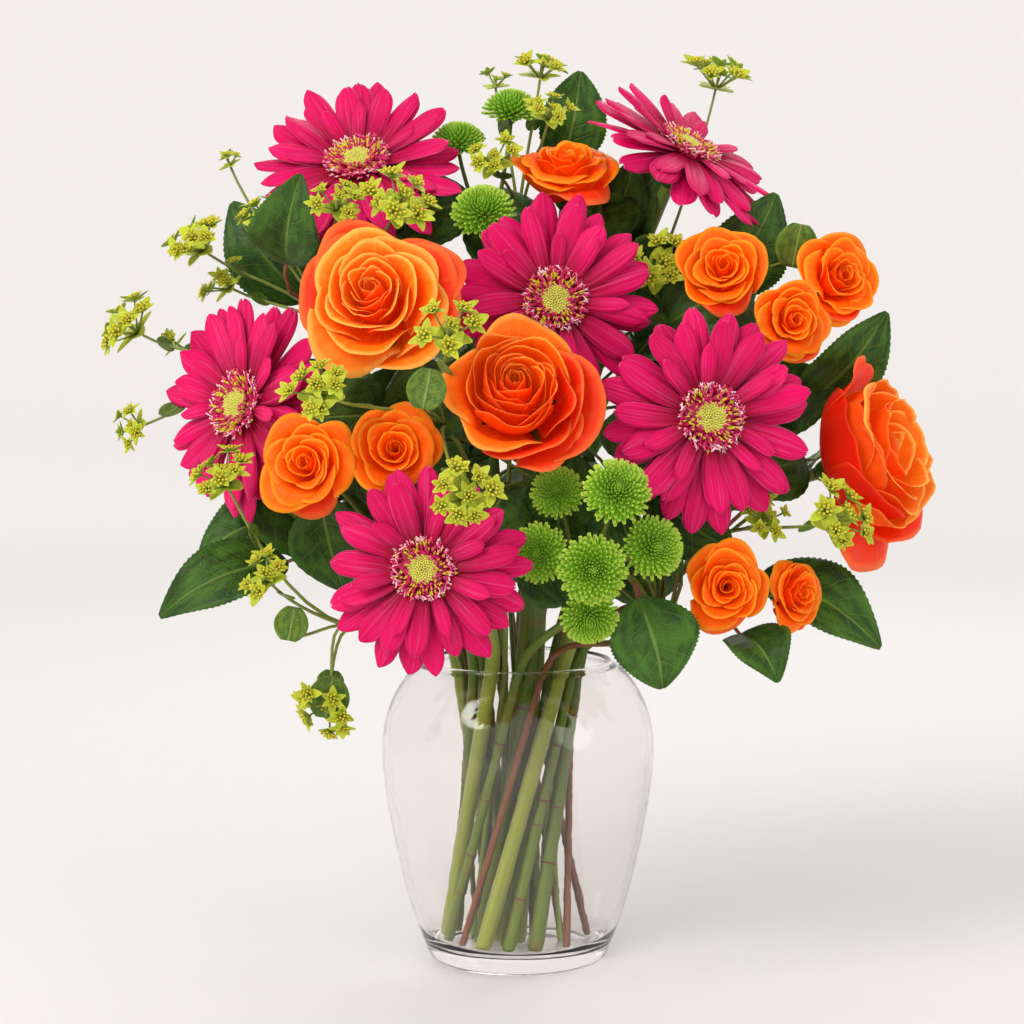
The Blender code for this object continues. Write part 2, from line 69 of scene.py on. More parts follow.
def addSheet(bag, grid, thick, tone, slot=0, rim=0.35):
    # a closed thin sheet over a grid of points: rows run along it, columns across it
    rows, cols = grid.shape[:2]
    normal = np.cross(np.gradient(grid, axis=1), np.gradient(grid, axis=0))
    normal /= np.linalg.norm(normal, axis=2, keepdims=True) + 1e-15
    half = np.full((rows, cols, 1), thick / 2)
    half[[0, -1]] *= rim
    half[:, [0, -1]] *= rim
    points = np.concatenate([(grid + normal * half).reshape(-1, 3), (grid - normal * half).reshape(-1, 3)])
    along, across = np.meshgrid(np.linspace(0, 1, rows), np.linspace(-1, 1, cols), indexing="ij")
    growth = np.stack([along.ravel(), across.ravel(), np.full(rows * cols, tone)], 1)
    index = np.arange(rows * cols).reshape(rows, cols)
    a, b, c, d = index[:-1, :-1], index[:-1, 1:], index[1:, 1:], index[1:, :-1]
    upper = np.stack([a, b, c, d], 2).reshape(-1, 4)
    lower = upper[:, ::-1] + rows * cols
    loop = np.concatenate([index[0, :-1], index[:-1, -1], index[-1, :0:-1], index[:0:-1, 0]])
    after = np.roll(loop, -1)
    edge = np.stack([after, loop, loop + rows * cols, after + rows * cols], 1)
    side = np.repeat([1.0, 0.0], rows * cols)
    pour(bag, points, np.concatenate([growth, growth]), side, [upper, lower, edge], slot)


def addTube(bag, line, radii, sides, tone, slot=0, perMetre=0, ribs=0, ribDepth=0.0):
    # a closed tube along a line; growth runs 0 to 1 along it, or by real length when perMetre is given
    line = np.array([tuple(point) for point in line], float)
    count = len(line)
    radii = np.broadcast_to(np.asarray(radii, float), (count,))
    way = np.gradient(line, axis=0)
    way /= np.linalg.norm(way, axis=1, keepdims=True) + 1e-15
    out = np.cross(way[0], (0.31, 0.17, 0.93) if abs(way[0][2]) < 0.9 else (0.97, 0.21, 0.1))
    ring = np.arange(sides) / sides * 2 * np.pi
    shape = 1 + ribDepth * np.cos(ribs * ring)
    points = []
    for place in range(count):
        out = out - way[place] * np.dot(out, way[place])
        out /= np.linalg.norm(out) + 1e-15
        other = np.cross(way[place], out)
        turned = np.cos(ring)[:, None] * out + np.sin(ring)[:, None] * other
        points.append(line[place] + radii[place] * shape[:, None] * turned)
    points = np.concatenate(points + [line[:1], line[-1:]])
    reach = np.concatenate([[0], np.cumsum(np.linalg.norm(np.diff(line, axis=0), axis=1))])
    reach = reach * perMetre if perMetre else reach / reach[-1]
    along = np.concatenate([np.repeat(reach, sides), reach[[0, -1]]])
    across = np.concatenate([np.tile(np.cos(ring), count), [0, 0]])
    growth = np.stack([along, across, np.full(len(along), tone)], 1)
    index = np.arange(count * sides).reshape(count, sides)
    ahead = np.roll(index, -1, axis=1)
    wall = np.stack([index[:-1], ahead[:-1], ahead[1:], index[1:]], 2).reshape(-1, 4)
    first = np.stack([np.full(sides, count * sides), ahead[0], index[0]], 1)
    last = np.stack([np.full(sides, count * sides + 1), index[-1], ahead[-1]], 1)
    pour(bag, points, growth, np.ones(len(points)), [wall, first, last], slot)


def addBead(bag, at, way, radius, long, tone, slot=0, sides=6):
    # a small egg-shaped body standing at a point along a direction
    shares = (0.0, 0.12, 0.4, 0.72, 0.93, 1.0)
    widths = (0.25, 0.62, 1.0, 0.86, 0.45, 0.12)
    line = [Vector(at) + Vector(way) * (share * long) for share in shares]
    addTube(bag, line, [radius * width for width in widths], sides, tone, slot)


def newObject(name, points, faces, *materials):
    mesh = bpy.data.meshes.new(name)
    mesh.from_pydata(points, [], faces)
    for material in materials:
        mesh.materials.append(material)
    mesh.polygons.foreach_set("use_smooth", np.ones(len(faces), bool))
    thing = bpy.data.objects.new(name, mesh)
    bpy.context.scene.collection.objects.link(thing)
    return thing


def makePiece(bag, name, finishes, slot, *nodes):
    faces = [face for part in bag["faces"] for face in part.tolist()]
    materials = [materialOf[finish] for finish in finishes]
    piece = newObject(name, np.concatenate(bag["points"]).tolist(), faces, *materials)
    mesh = piece.data
    mesh.polygons.foreach_set("material_index", np.concatenate(bag["slots"]).astype(np.int32))
    growth = mesh.attributes.new("growth", "FLOAT_VECTOR", "POINT")
    growth.data.foreach_set("vector", np.concatenate(bag["growth"]).astype(np.float32).ravel())
    side = mesh.attributes.new("side", "FLOAT", "POINT")
    side.data.foreach_set("value", np.concatenate(bag["side"]).astype(np.float32))
    mesh.update()
    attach(piece, "root")
    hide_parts(*nodes)


def facing(at, look):
    # puts a bloom's own frame at its centre, z along the way it looks and y upwards
    return Matrix.Translation(at) @ Vector(look).to_track_quat("Z", "Y").to_matrix().to_4x4()


def wayOf(place, local):
    return Vector(place.to_3x3() @ Vector(local)).normalized()


def polar(turn, radius=1.0, height=0.0):
    return Vector((radius * math.cos(turn), radius * math.sin(turn), height))


def spread(rows, cols):
    # a sheet's own coordinates: u from -1 to 1 across it, v from 0 to 1 along it
    return np.linspace(-1, 1, cols)[None, :], np.linspace(0, 1, rows)[:, None]


def standing(place, size, turn, out, across, up):
    # a grid in a bloom's frame: how far out each point is, how far sideways, and how high
    x = out * math.cos(turn) + across * math.sin(turn)
    y = out * math.sin(turn) - across * math.cos(turn)
    matrix = np.array(place)
    return np.stack([x, y, up + 0 * x], 2) * size @ matrix[:3, :3].T + matrix[:3, 3]


def addTrunk(bag, place, size, heights, widths, sides, tone, slot):
    # a tube along a bloom's own axis
    line = [place @ Vector((0, 0, height * size)) for height in heights]
    addTube(bag, line, [width * size for width in widths], sides, tone, slot)


def spun(profile, around):
    # points all round the upright axis from (radius, height) pairs
    turns = [2 * math.pi * step / around for step in range(around)]
    return [(r * math.cos(turn), r * math.sin(turn), height) for r, height in profile for turn in turns]


# ---------- shader groups: the growth of each sheet or tube drives its colour, veins and ribs ----------


def addNode(tree, kind, inputs=None, **settings):
    node = tree.nodes.new("ShaderNode" + kind)
    for key, value in settings.items():
        setattr(node, key, value)
    for key, value in (inputs or {}).items():
        if isinstance(value, bpy.types.NodeSocket):
            tree.links.new(value, node.inputs[key])
        else:
            node.inputs[key].default_value = value
    return node


def mixed(tree, factor, first, second):
    return addNode(tree, "Mix", {0: factor, 6: first, 7: second}, data_type="RGBA").outputs[2]


def maths(tree, operation, first, second=0.0):
    return addNode(tree, "Math", {0: first, 1: second}, operation=operation).outputs[0]


def sumsOn(tree):
    # plus, minus and times, ready to use on one tree
    return [partial(maths, tree, operation) for operation in ("ADD", "SUBTRACT", "MULTIPLY")]


def ramp(tree, value, low, high):
    inputs = {"Value": value, "From Min": low, "From Max": high}
    return addNode(tree, "MapRange", inputs, interpolation_type="SMOOTHSTEP").outputs["Result"]


def brightened(tree, bright, colour):
    return addNode(tree, "HueSaturation", {"Value": bright, "Color": colour}).outputs[0]


def newGroup(name, colours, numbers):
    # every group takes colours and numbers, and gives a colour, a height for the bump and a roughness
    group = bpy.data.node_groups.new(name, "ShaderNodeTree")
    for labels, way, kind in (
        (colours, "INPUT", "Color"),
        (numbers, "INPUT", "Float"),
        (("Colour",), "OUTPUT", "Color"),
        (("Height", "Roughness"), "OUTPUT", "Float"),
    ):
        for label in labels:
            group.interface.new_socket(name=label, in_out=way, socket_type="NodeSocket" + kind)
    return group, group.nodes.new("NodeGroupInput").outputs, group.nodes.new("NodeGroupOutput")


def readGrowth(tree):
    growth = addNode(tree, "Attribute", attribute_name="growth").outputs["Vector"]
    parts = addNode(tree, "SeparateXYZ", {0: growth}).outputs
    side = addNode(tree, "Attribute", attribute_name="side").outputs["Fac"]
    return parts[0], parts[1], parts[2], side


def noiseOn(tree, growth, stretch, detail):
    # noise laid out in the sheet's own directions, different on each sheet
    place = [maths(tree, "MULTIPLY", value, scale) for value, scale in zip(growth, stretch)]
    vector = addNode(tree, "CombineXYZ", dict(enumerate(place))).outputs[0]
    return addNode(tree, "TexNoise", {"Vector": vector, "Scale": 1.0, "Detail": detail}).outputs[0]


def finishGroup(tree, result, *values):
    for label, value in zip(("Colour", "Height", "Roughness"), values):
        tree.links.new(value, result.inputs[label])
    return tree


petalParts = (("Base", "Body", "Rim", "Under"), ("Rim Width", "Streaks", "Ribs", "Base Reach"))
leafParts = (("Dark", "Light", "Vein", "Under"), ("Veins", "Vein Strength"))
stemParts = (("Low", "High", "Mark"), ("Marks", "Change"))


def makePetalTint():
    tree, given, result = newGroup("petalTint", *petalParts)
    plus, minus, times = sumsOn(tree)
    growth = along, across, tone, side = readGrowth(tree)
    edgeward = maths(tree, "ABSOLUTE", across)
    streak = noiseOn(tree, growth, (1.3, 7.0, 61.0), 4.0)
    cloud = noiseOn(tree, growth, (2.5, 1.2, 23.0), 2.0)
    # the colour is darker towards each petal's base and turns into the body colour further along the petal
    grown = ramp(tree, plus(along, times(cloud, 0.2)), 0.08, given["Base Reach"])
    colour = mixed(tree, grown, given["Base"], given["Body"])
    pale = times(ramp(tree, streak, 0.48, 0.78), given["Streaks"])
    colour = mixed(tree, pale, colour, given["Rim"])
    # pale rims: partly the petals' own paler edge colour, partly a painted highlight along the edges
    border = minus(1.0, given["Rim Width"])
    rim = maths(tree, "MAXIMUM", ramp(tree, edgeward, border, 1.0), ramp(tree, along, border, 1.0))
    colour = mixed(tree, times(rim, 0.8), colour, given["Rim"])
    colour = mixed(tree, times(minus(1.0, side), 0.8), colour, given["Under"])
    colour = brightened(tree, plus(times(tone, 0.25), 0.86), colour)
    ribs = maths(tree, "SINE", times(across, times(given["Ribs"], math.pi)))
    height = plus(times(ribs, 0.35), times(streak, 1.3))
    return finishGroup(tree, result, colour, height, plus(times(cloud, 0.2), 0.36))


def makeLeafTint():
    tree, given, result = newGroup("leafTint", *leafParts)
    plus, minus, times = sumsOn(tree)
    growth = along, across, tone, side = readGrowth(tree)
    edgeward = maths(tree, "ABSOLUTE", across)
    mottle = noiseOn(tree, growth, (5.0, 4.0, 31.0), 5.0)
    wander = noiseOn(tree, growth, (6.0, 2.0, 12.0), 2.0)
    reach = minus(along, times(edgeward, 0.22))
    reach = plus(reach, times(wander, 0.06))
    phase = maths(tree, "FRACT", times(reach, given["Veins"]))
    line = maths(tree, "ABSOLUTE", minus(times(phase, 2.0), 1.0))
    sideVein = times(ramp(tree, line, 0.88, 1.0), minus(1.1, edgeward))
    midrib = minus(1.0, ramp(tree, edgeward, 0.015, 0.075))
    vein = maths(tree, "MAXIMUM", sideVein, midrib)
    cells = addNode(tree, "CombineXYZ", {0: times(along, 26.0), 1: times(across, 13.0), 2: tone})
    net = addNode(tree, "TexVoronoi", {"Vector": cells.outputs[0], "Scale": 1.0}, feature="DISTANCE_TO_EDGE")
    net = minus(1.0, ramp(tree, net.outputs["Distance"], 0.0, 0.12))
    colour = mixed(tree, ramp(tree, mottle, 0.3, 0.72), given["Dark"], given["Light"])
    colour = mixed(tree, times(net, 0.14), colour, given["Vein"])
    colour = mixed(tree, times(vein, given["Vein Strength"]), colour, given["Vein"])
    colour = mixed(tree, times(minus(1.0, side), 0.75), colour, given["Under"])
    colour = brightened(tree, plus(times(tone, 0.5), 0.72), colour)
    height = minus(times(mottle, 0.4), times(vein, 0.9))
    height = minus(height, times(net, 0.18))
    return finishGroup(tree, result, colour, height, plus(times(mottle, 0.22), 0.28))


def makeStemTint():
    tree, given, result = newGroup("stemTint", *stemParts)
    plus, times = sumsOn(tree)[::2]
    growth = readGrowth(tree)
    along, tone = growth[0], growth[2]
    fibre = noiseOn(tree, growth, (1.1, 5.0, 47.0), 4.0)
    blotch = noiseOn(tree, growth, (7.0, 1.5, 19.0), 3.0)
    speck = noiseOn(tree, growth, (60.0, 9.0, 7.0), 2.0)
    after = plus(given["Change"], 1.1)
    colour = mixed(tree, ramp(tree, along, given["Change"], after), given["Low"], given["High"])
    colour = mixed(tree, times(ramp(tree, blotch, 0.5, 0.74), given["Marks"]), colour, given["Mark"])
    colour = mixed(tree, times(ramp(tree, speck, 0.66, 0.74), 0.35), colour, given["Mark"])
    colour = brightened(tree, plus(times(plus(fibre, tone), 0.42), 0.62), colour)
    height = plus(fibre, times(speck, 0.4))
    return finishGroup(tree, result, colour, height, plus(times(fibre, 0.25), 0.3))


materialOf = {}


def newMaterial(name):
    material = materialOf[name] = bpy.data.materials.new(name)
    material.use_nodes = True
    return material, material.node_tree, material.node_tree.nodes["Principled BSDF"]


def addRelief(tree, shader, height, strength, distance):
    relief = addNode(tree, "Bump", {"Height": height, "Strength": strength, "Distance": distance})
    tree.links.new(relief.outputs[0], shader.inputs["Normal"])


def grownMaterial(group, parts, name, bump, gloss, numbers, *colours):
    # a living surface: one growth group feeds the colour, the roughness and the bump
    material, tree, shader = newMaterial(name)
    look = addNode(tree, "Group", None, node_tree=group)
    for key, value in zip(parts[0] + parts[1], [tint(*levels) for levels in colours] + list(numbers)):
        look.inputs[key].default_value = value
    addRelief(tree, shader, look.outputs["Height"], bump, 0.0006)
    tree.links.new(look.outputs["Colour"], shader.inputs["Base Color"])
    tree.links.new(look.outputs["Roughness"], shader.inputs["Roughness"])
    for key, value in gloss.items():
        shader.inputs[key].default_value = value
    if "Emission Strength" in gloss:  # painted glow: the colour also feeds emission, so these surfaces give off light of their own
        tree.links.new(look.outputs["Colour"], shader.inputs["Emission Color"])


def glow(weight, scale, radius, specular, emission=None):
    gloss = {"Subsurface Weight": weight, "Subsurface Scale": scale, "Specular IOR Level": specular}
    if radius:
        gloss["Subsurface Radius"] = radius
    # emission strength here is a painted glow, not light that passes through the petals
    if emission:
        gloss["Emission Strength"] = emission
    return gloss


# orangeGlow and budGlow carry an emission strength: a painted glow on the roses, gerbera discs, mums and
# hare's-ear
softGlow = glow(0.22, 0.004, None, 0.12)
pinkGlow = glow(0.22, 0.004, (1.0, 0.12, 0.3), 0.12)
orangeGlow = glow(0.2, 0.003, (1.0, 0.4, 0.05), 0.12, 0.10)
greenGlow = glow(0.12, 0.002, (0.4, 1.0, 0.2), 0.25)
budGlow = glow(0.12, 0.002, (0.4, 1.0, 0.2), 0.25, 0.08)

# the bump, the gloss, the numbers and then the colours of each finish, in the order of its group's parts
petalFinishes = {
    # gerbera petals: the darker crimson underside colour is painted shade
    "gerberaPetal": (0.5, pinkGlow, (0.045, 0.34, 4.0, 0.7))
    + ((136, 0, 26), (222, 7, 94), (246, 110, 170), (178, 5, 60)),
    "gerberaFloret": (0.3, pinkGlow, (0.2, 0.3, 2.0, 0.5))
    + ((150, 4, 44), (226, 24, 98), (250, 120, 160), (220, 30, 100)),
    "floretTip": (0.2, softGlow, (0.2, 0.3, 2.0, 0.7))
    + ((236, 70, 130), (252, 196, 204), (255, 236, 226), (220, 30, 100)),
    "gerberaDisc": (0.4, budGlow, (0.2, 0.3, 3.0, 0.7))
    + ((132, 140, 36), (206, 202, 84), (236, 230, 130), (160, 160, 70)),
    "rosePetal": (0.75, orangeGlow, (0.09, 0.24, 7.0, 0.95))
    + ((240, 50, 0), (255, 122, 20), (255, 184, 84), (248, 70, 10)),
    "deepPetal": (0.75, orangeGlow, (0.09, 0.24, 7.0, 0.95))
    + ((222, 30, 0), (250, 106, 14), (255, 166, 66), (238, 56, 6)),
    "guardPetal": (0.3, orangeGlow, (0.09, 0.24, 7.0, 0.95))
    + ((216, 20, 0), (234, 50, 14), (250, 112, 54), (218, 22, 6)),
    "sprayPetal": (0.6, orangeGlow, (0.09, 0.14, 5.0, 0.8))
    + ((230, 40, 0), (255, 100, 2), (255, 154, 34), (248, 74, 0)),
    "mumPetal": (0.4, budGlow, (0.22, 0.25, 3.0, 0.75))
    + ((36, 80, 20), (128, 184, 40), (206, 228, 92), (104, 158, 36)),
    "bract": (0.4, budGlow, (0.1, 0.3, 4.0, 0.7))
    + ((104, 130, 26), (184, 194, 50), (222, 222, 88), (136, 160, 58)),
    "yellowFloret": (0.3, budGlow, (0.1, 0.3, 4.0, 0.7))
    + ((150, 160, 40), (214, 200, 44), (236, 222, 90), (136, 160, 58)),
}
leafFinishes = {
    "leaf": (0.9, greenGlow, (7.0, 0.55)) + ((30, 64, 14), (72, 118, 30), (140, 170, 80), (112, 144, 62)),
    "roundLeaf": (0.5, greenGlow, (10.0, 0.55))
    + ((62, 94, 26), (112, 140, 44), (176, 190, 110), (120, 140, 70)),
}
stemFinishes = {
    "paleStem": (0.6, {"Sheen Weight": 0.3}, (0.25, 1.2), (134, 146, 38), (120, 146, 52), (140, 120, 60)),
    "greenStem": (0.5, {}, (0.55, 1.0), (88, 108, 8), (82, 112, 34), (122, 84, 40)),
    "brownStem": (0.8, {}, (0.6, 1.4), (128, 72, 36), (96, 86, 40), (70, 34, 18)),
    "hareStem": (0.4, {}, (0.25, 1.2), (132, 150, 60), (158, 168, 62), (120, 110, 50)),
}
for group, parts, finishes in (
    (makePetalTint(), petalParts, petalFinishes),
    (makeLeafTint(), leafParts, leafFinishes),
    (makeStemTint(), stemParts, stemFinishes),
):
    for name, finish in finishes.items():
        grownMaterial(group, parts, name, *finish)

print("materials: growth groups and", len(materialOf), "plant finishes")


# ---------- studio ----------

studio = {
    "cameraAt": (-0.003, -1.5, 0.37),
    "cameraTo": (-0.003, 0.0, 0.226),
    "lens": 106.0,
    "bowl": [(1.2, 0), (2.4, 0), (2.8, 0.06), (3.2, 0.3), (3.5, 0.8), (3.7, 1.6), (3.8, 3.0)],
    "paper": tint(243, 241, 240),
    "world": (1.0, 0.985, 0.965, 1.0),
    "worldStrength": 0.66,
    "nearShade": 0.89,
    "wallGlow": 0.15,
}
lamps = {
    "keyLamp": {"at": (-1.1, -1.3, 1.5), "size": 1.2, "power": 25.5, "colour": (1.0, 0.97, 0.93)},
    "fillLamp": {"at": (1.5, -1.2, 0.8), "size": 1.2, "power": 4, "colour": (0.95, 0.98, 1.0)},
    "backLamp": {"at": (0.3, 1.2, 1.4), "size": 1.0, "power": 7, "colour": (1.0, 1.0, 1.0)},
}
aim = Vector((0.0, 0.0, 0.24))


def makeStudio():
    scene = bpy.context.scene
    scene.view_settings.view_transform = "Standard"
    camera = bpy.data.objects.new("camera", bpy.data.cameras.new("camera"))
    scene.collection.objects.link(camera)
    camera.location = studio["cameraAt"]
    sight = Vector(studio["cameraTo"]) - camera.location
    camera.rotation_euler = sight.to_track_quat("-Z", "Y").to_euler()
    camera.data.lens = studio["lens"]
    camera.data.clip_start = 0.01
    scene.camera = camera
    world = bpy.data.worlds.new("studioAir")
    world.use_nodes = True
    air = world.node_tree.nodes["Background"]
    air.inputs["Color"].default_value = studio["world"]
    air.inputs["Strength"].default_value = studio["worldStrength"]
    scene.world = world
    for name, lamp in lamps.items():
        data = bpy.data.lights.new(name, "AREA")
        data.shape = "DISK"
        data.size = lamp["size"]
        data.energy = lamp["power"]
        data.color = lamp["colour"]
        light = bpy.data.objects.new(name, data)
        light.location = lamp["at"]
        light.rotation_euler = (aim - light.location).to_track_quat("-Z", "Y").to_euler()
        scene.collection.objects.link(light)


def makeBackdrop():
    # a wide shallow bowl of pale paper: flat floor, walls curving up far behind on every side
    steps = 64
    faces = []
    for row in range(len(studio["bowl"]) - 1):
        for step in range(steps):
            a, b = row * steps + step, row * steps + (step + 1) % steps
            faces.append((a, a + steps, b + steps, b))
    faces.append(tuple(range(steps)))
    material, tree, shader = newMaterial("studioPaper")
    plus, times = sumsOn(tree)[::2]
    grain = addNode(tree, "TexNoise", {"Scale": 400.0, "Detail": 2.0})
    soft = mixed(tree, grain.outputs[0], studio["paper"], tuple(0.985 * level for level in studio["paper"]))
    # painted shade: the floor's colour darkens towards the vase; painted light: the far paper glows a little
    spot = addNode(tree, "SeparateXYZ", {0: addNode(tree, "TexCoord").outputs["Object"]}).outputs
    away = maths(tree, "SQRT", plus(times(spot[0], spot[0]), times(spot[1], spot[1])))
    near = studio["nearShade"]
    soft = brightened(tree, plus(times(ramp(tree, away, 0.1, 2.3), 1 - near), near), soft)
    tree.links.new(soft, shader.inputs["Base Color"])
    shader.inputs["Roughness"].default_value = 0.75
    shader.inputs["Specular IOR Level"].default_value = 0.2
    # painted light: the far walls give off light of their own through emission
    farGlow = times(ramp(tree, away, 1.5, 2.5), studio["wallGlow"])
    tree.links.new(farGlow, shader.inputs["Emission Strength"])
    shader.inputs["Emission Color"].default_value = studio["paper"]
    newObject("paperBowl", spun(studio["bowl"], steps), faces, material)


makeStudio()
makeBackdrop()
print("studio: camera, lamps and paper bowl")

# ---------- vase ----------

vase = {
    "rimHeight": 0.152,
    "rimRadius": 0.0475,
    "wall": 0.003,
    "floor": 0.009,
    "foot": 0.0430,
    "outline": [(0.02, 0.0450), (0.15, 0.0525), (0.35, 0.0605), (0.55, 0.0663), (0.70, 0.0683)]
    + [(0.80, 0.0666), (0.89, 0.0615), (0.96, 0.0540), (1.0, 0.0475)],
    "around": 144,
    "glass": tint(250, 248, 247),
}


def smoothOutline(points, steps):
    # a smooth curve through the outline, as (radius, height) pairs from the foot to the rim
    heights = np.array([share * vase["rimHeight"] for share, radius in points])
    radii = np.array([radius for share, radius in points])
    slopes = np.gradient(radii, heights)
    fine = np.linspace(heights[0], heights[-1], steps)
    spot = np.clip(np.searchsorted(heights, fine) - 1, 0, len(heights) - 2)
    gap = heights[spot + 1] - heights[spot]
    t = (fine - heights[spot]) / gap
    first = (1 + 2 * t) * (1 - t) ** 2 * radii[spot] + t * (1 - t) ** 2 * gap * slopes[spot]
    last = t * t * (3 - 2 * t) * radii[spot + 1] + t * t * (t - 1) * gap * slopes[spot + 1]
    return list(zip(first + last, fine))


def makeGlass():
    # thick clear glass; shadow rays pass almost freely, so the stems and the floor behind it are lit
    material, tree, shader = newMaterial("vaseGlass")
    shader.inputs["Base Color"].default_value = vase["glass"]
    shader.inputs["Transmission Weight"].default_value = 1.0
    shader.inputs["IOR"].default_value = 1.48
    waves = addNode(tree, "TexNoise", {"Scale": 22.0, "Detail": 1.0})
    smudge = addNode(tree, "TexNoise", {"Scale": 60.0, "Detail": 4.0})
    haze = maths(tree, "MULTIPLY", ramp(tree, smudge.outputs[0], 0.55, 0.8), 0.035)
    tree.links.new(haze, shader.inputs["Roughness"])
    addRelief(tree, shader, waves.outputs[0], 0.025, 0.002)
    clear = addNode(tree, "BsdfTransparent", {"Color": (0.95, 0.95, 0.945, 1.0)})
    path = addNode(tree, "LightPath")
    blend = addNode(tree, "MixShader", {0: path.outputs["Is Shadow Ray"], 1: shader.outputs[0]})
    tree.links.new(clear.outputs[0], blend.inputs[2])
    tree.links.new(blend.outputs[0], tree.nodes["Material Output"].inputs["Surface"])
    return material


def makeVase():
    high, wall, floor, foot = vase["rimHeight"], vase["wall"], vase["floor"], vase["foot"]
    outside = smoothOutline(vase["outline"], 46)
    inside = [(radius - wall, height) for radius, height in outside if height > floor + 0.006]
    rimMiddle = vase["rimRadius"] - wall / 2
    profile = [(foot * 0.3, 0.0013), (foot * 0.62, 0.0010), (foot * 0.86, 0.0002), (foot - 0.0016, 0.0)]
    profile += [(foot - 0.0002, 0.0007), (foot + 0.0008, 0.0018)] + outside[:-1]
    for step in range(9):  # the fire-polished rim, a full round
        turn = math.pi * step / 8
        profile.append((rimMiddle + 0.00165 * math.cos(turn), high - 0.0017 + 0.0017 * math.sin(turn)))
    profile += inside[-2::-1] + [(foot + 0.0018, floor + 0.0030), (foot - 0.0012, floor + 0.0010)]
    profile += [(foot - 0.0055, floor + 0.0001), (foot * 0.5, floor), (foot * 0.25, floor)]
    around = vase["around"]
    points = [(0.0, 0.0, 0.0015)] + spun(profile, around) + [(0.0, 0.0, floor)]
    faces = []
    last = len(profile) - 1
    for step in range(around):
        after = (step + 1) % around
        faces.append((0, 1 + after, 1 + step))
        faces.append((len(points) - 1, 1 + last * around + step, 1 + last * around + after))
        for row in range(last):
            a, b = 1 + row * around + step, 1 + row * around + after
            faces.append((a, b, b + around, a + around))
    piece = newObject("glassVase", points, faces, makeGlass())
    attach(piece, "root")
    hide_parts("vase")


makeVase()
print("vase: clear glass with a polished rim and a thick foot")

# ---------- how stems run: the same lines as the solid stems ----------

bunch = {
    "neckHeight": 0.148,
    "feetSpread": 1.21,
    "feetTurn": math.radians(-74),
    "footHeight": 0.0102,
}


def smoothRun(start, startWay, end, endWay, steps):
    reach = (end - start).length
    leave = start + startWay.normalized() * reach * 0.38
    arrive = end - endWay.normalized() * reach * 0.30
    return interpolate_bezier(start, leave, arrive, end, steps)


def mainStem(neck, end, endWay, steps=7):
    turn = math.radians(neck[1])
    throat = Vector((neck[0] * math.cos(turn), neck[0] * math.sin(turn), bunch["neckHeight"]))
    foot = throat * bunch["feetSpread"]
    foot.rotate(Matrix.Rotation(bunch["feetTurn"], 3, "Z"))
    foot.z = bunch["footHeight"]
    return [foot] + smoothRun(throat, throat - foot, end, endWay, steps)


def twigLine(stemLine, count, end, endWay, steps=9):
    start = stemLine[-1].lerp(stemLine[-2], 0.12 * (count + 1))
    return smoothRun(start, stemLine[-1] - stemLine[-2], end, endWay, steps)


def finer(line, pieces):
    # more points on the same line, rounded a little at its corners
    points = np.array([tuple(point) for point in line])
    reach = np.concatenate([[0], np.cumsum(np.linalg.norm(np.diff(points, axis=0), axis=1))])
    fine = np.linspace(0, reach[-1], pieces)
    return np.stack([np.interp(fine, reach, points[:, axis]) for axis in range(3)], 1)


def addStem(bag, line, radius, tipShare, rng, knots, sides, scar=None, ribs=0, ribDepth=0.0):
    # a main stem with a taper, slight swellings, and leaf joints where leaves were stripped off
    fine = finer(line, 90)
    reach = np.linspace(0, 1, len(fine))
    radii = radius * (1 + (tipShare - 1) * reach)
    radii *= 1 + 0.03 * np.sin(reach * 31 + rng.uniform(0, 6)) * (reach > 0.02)
    for knot in range(knots):
        spot = 0.07 + 0.5 * (knot + rng.uniform(0.2, 0.8)) / knots
        radii = radii * (1 + 0.13 * np.exp(-(((reach - spot) / 0.006) ** 2)))
        index = int(spot * (len(fine) - 1))
        at = Vector(fine[index])
        way = polar(rng.uniform(0, 2 * math.pi), 1.0, 0.9).normalized()
        addBead(bag, at + way * radius * 0.5, way, radius * 0.42, radius * 0.95, rng.random())
        if scar:
            run = (Vector(fine[index + 1]) - at).normalized()
            ring = [at + run * shift for shift in (-0.0005, -0.0002, 0.0002, 0.0006)]
            addTube(bag, ring, radius * np.array([0.98, 1.09, 1.10, 0.98]), 14, 0.3, scar)
    radii[0] *= 0.93
    addTube(bag, fine, radii, sides, rng.random(), 0, 10, ribs, ribDepth)
    # the pale cut end: a little disc of pith with a rim of bark
    start = Vector(fine[0])
    down = Vector(fine[0] - fine[1]).normalized()
    addTube(bag, [start, start + down * 0.0004], [radius * 0.8, radius * 0.66], 12, 0.9)


def addTwig(bag, line, radius, ends, sides, rng, slot=0):
    # a side stem whose radius goes from the first share to the second
    addTube(bag, line, radius * np.linspace(*ends, len(line)), sides, rng.random(), slot, 10)


def head(at, look, radius, **more):
    return dict(at=at, look=look, radius=radius, **more)


def placeOf(bloom):
    return facing(bloom["at"], bloom.get("tip", bloom["look"]))


def behind(bloom, share):
    return facing(bloom["at"], bloom["look"]) @ Vector((0, 0, share * bloom["radius"]))


# ---------- gerberas ----------

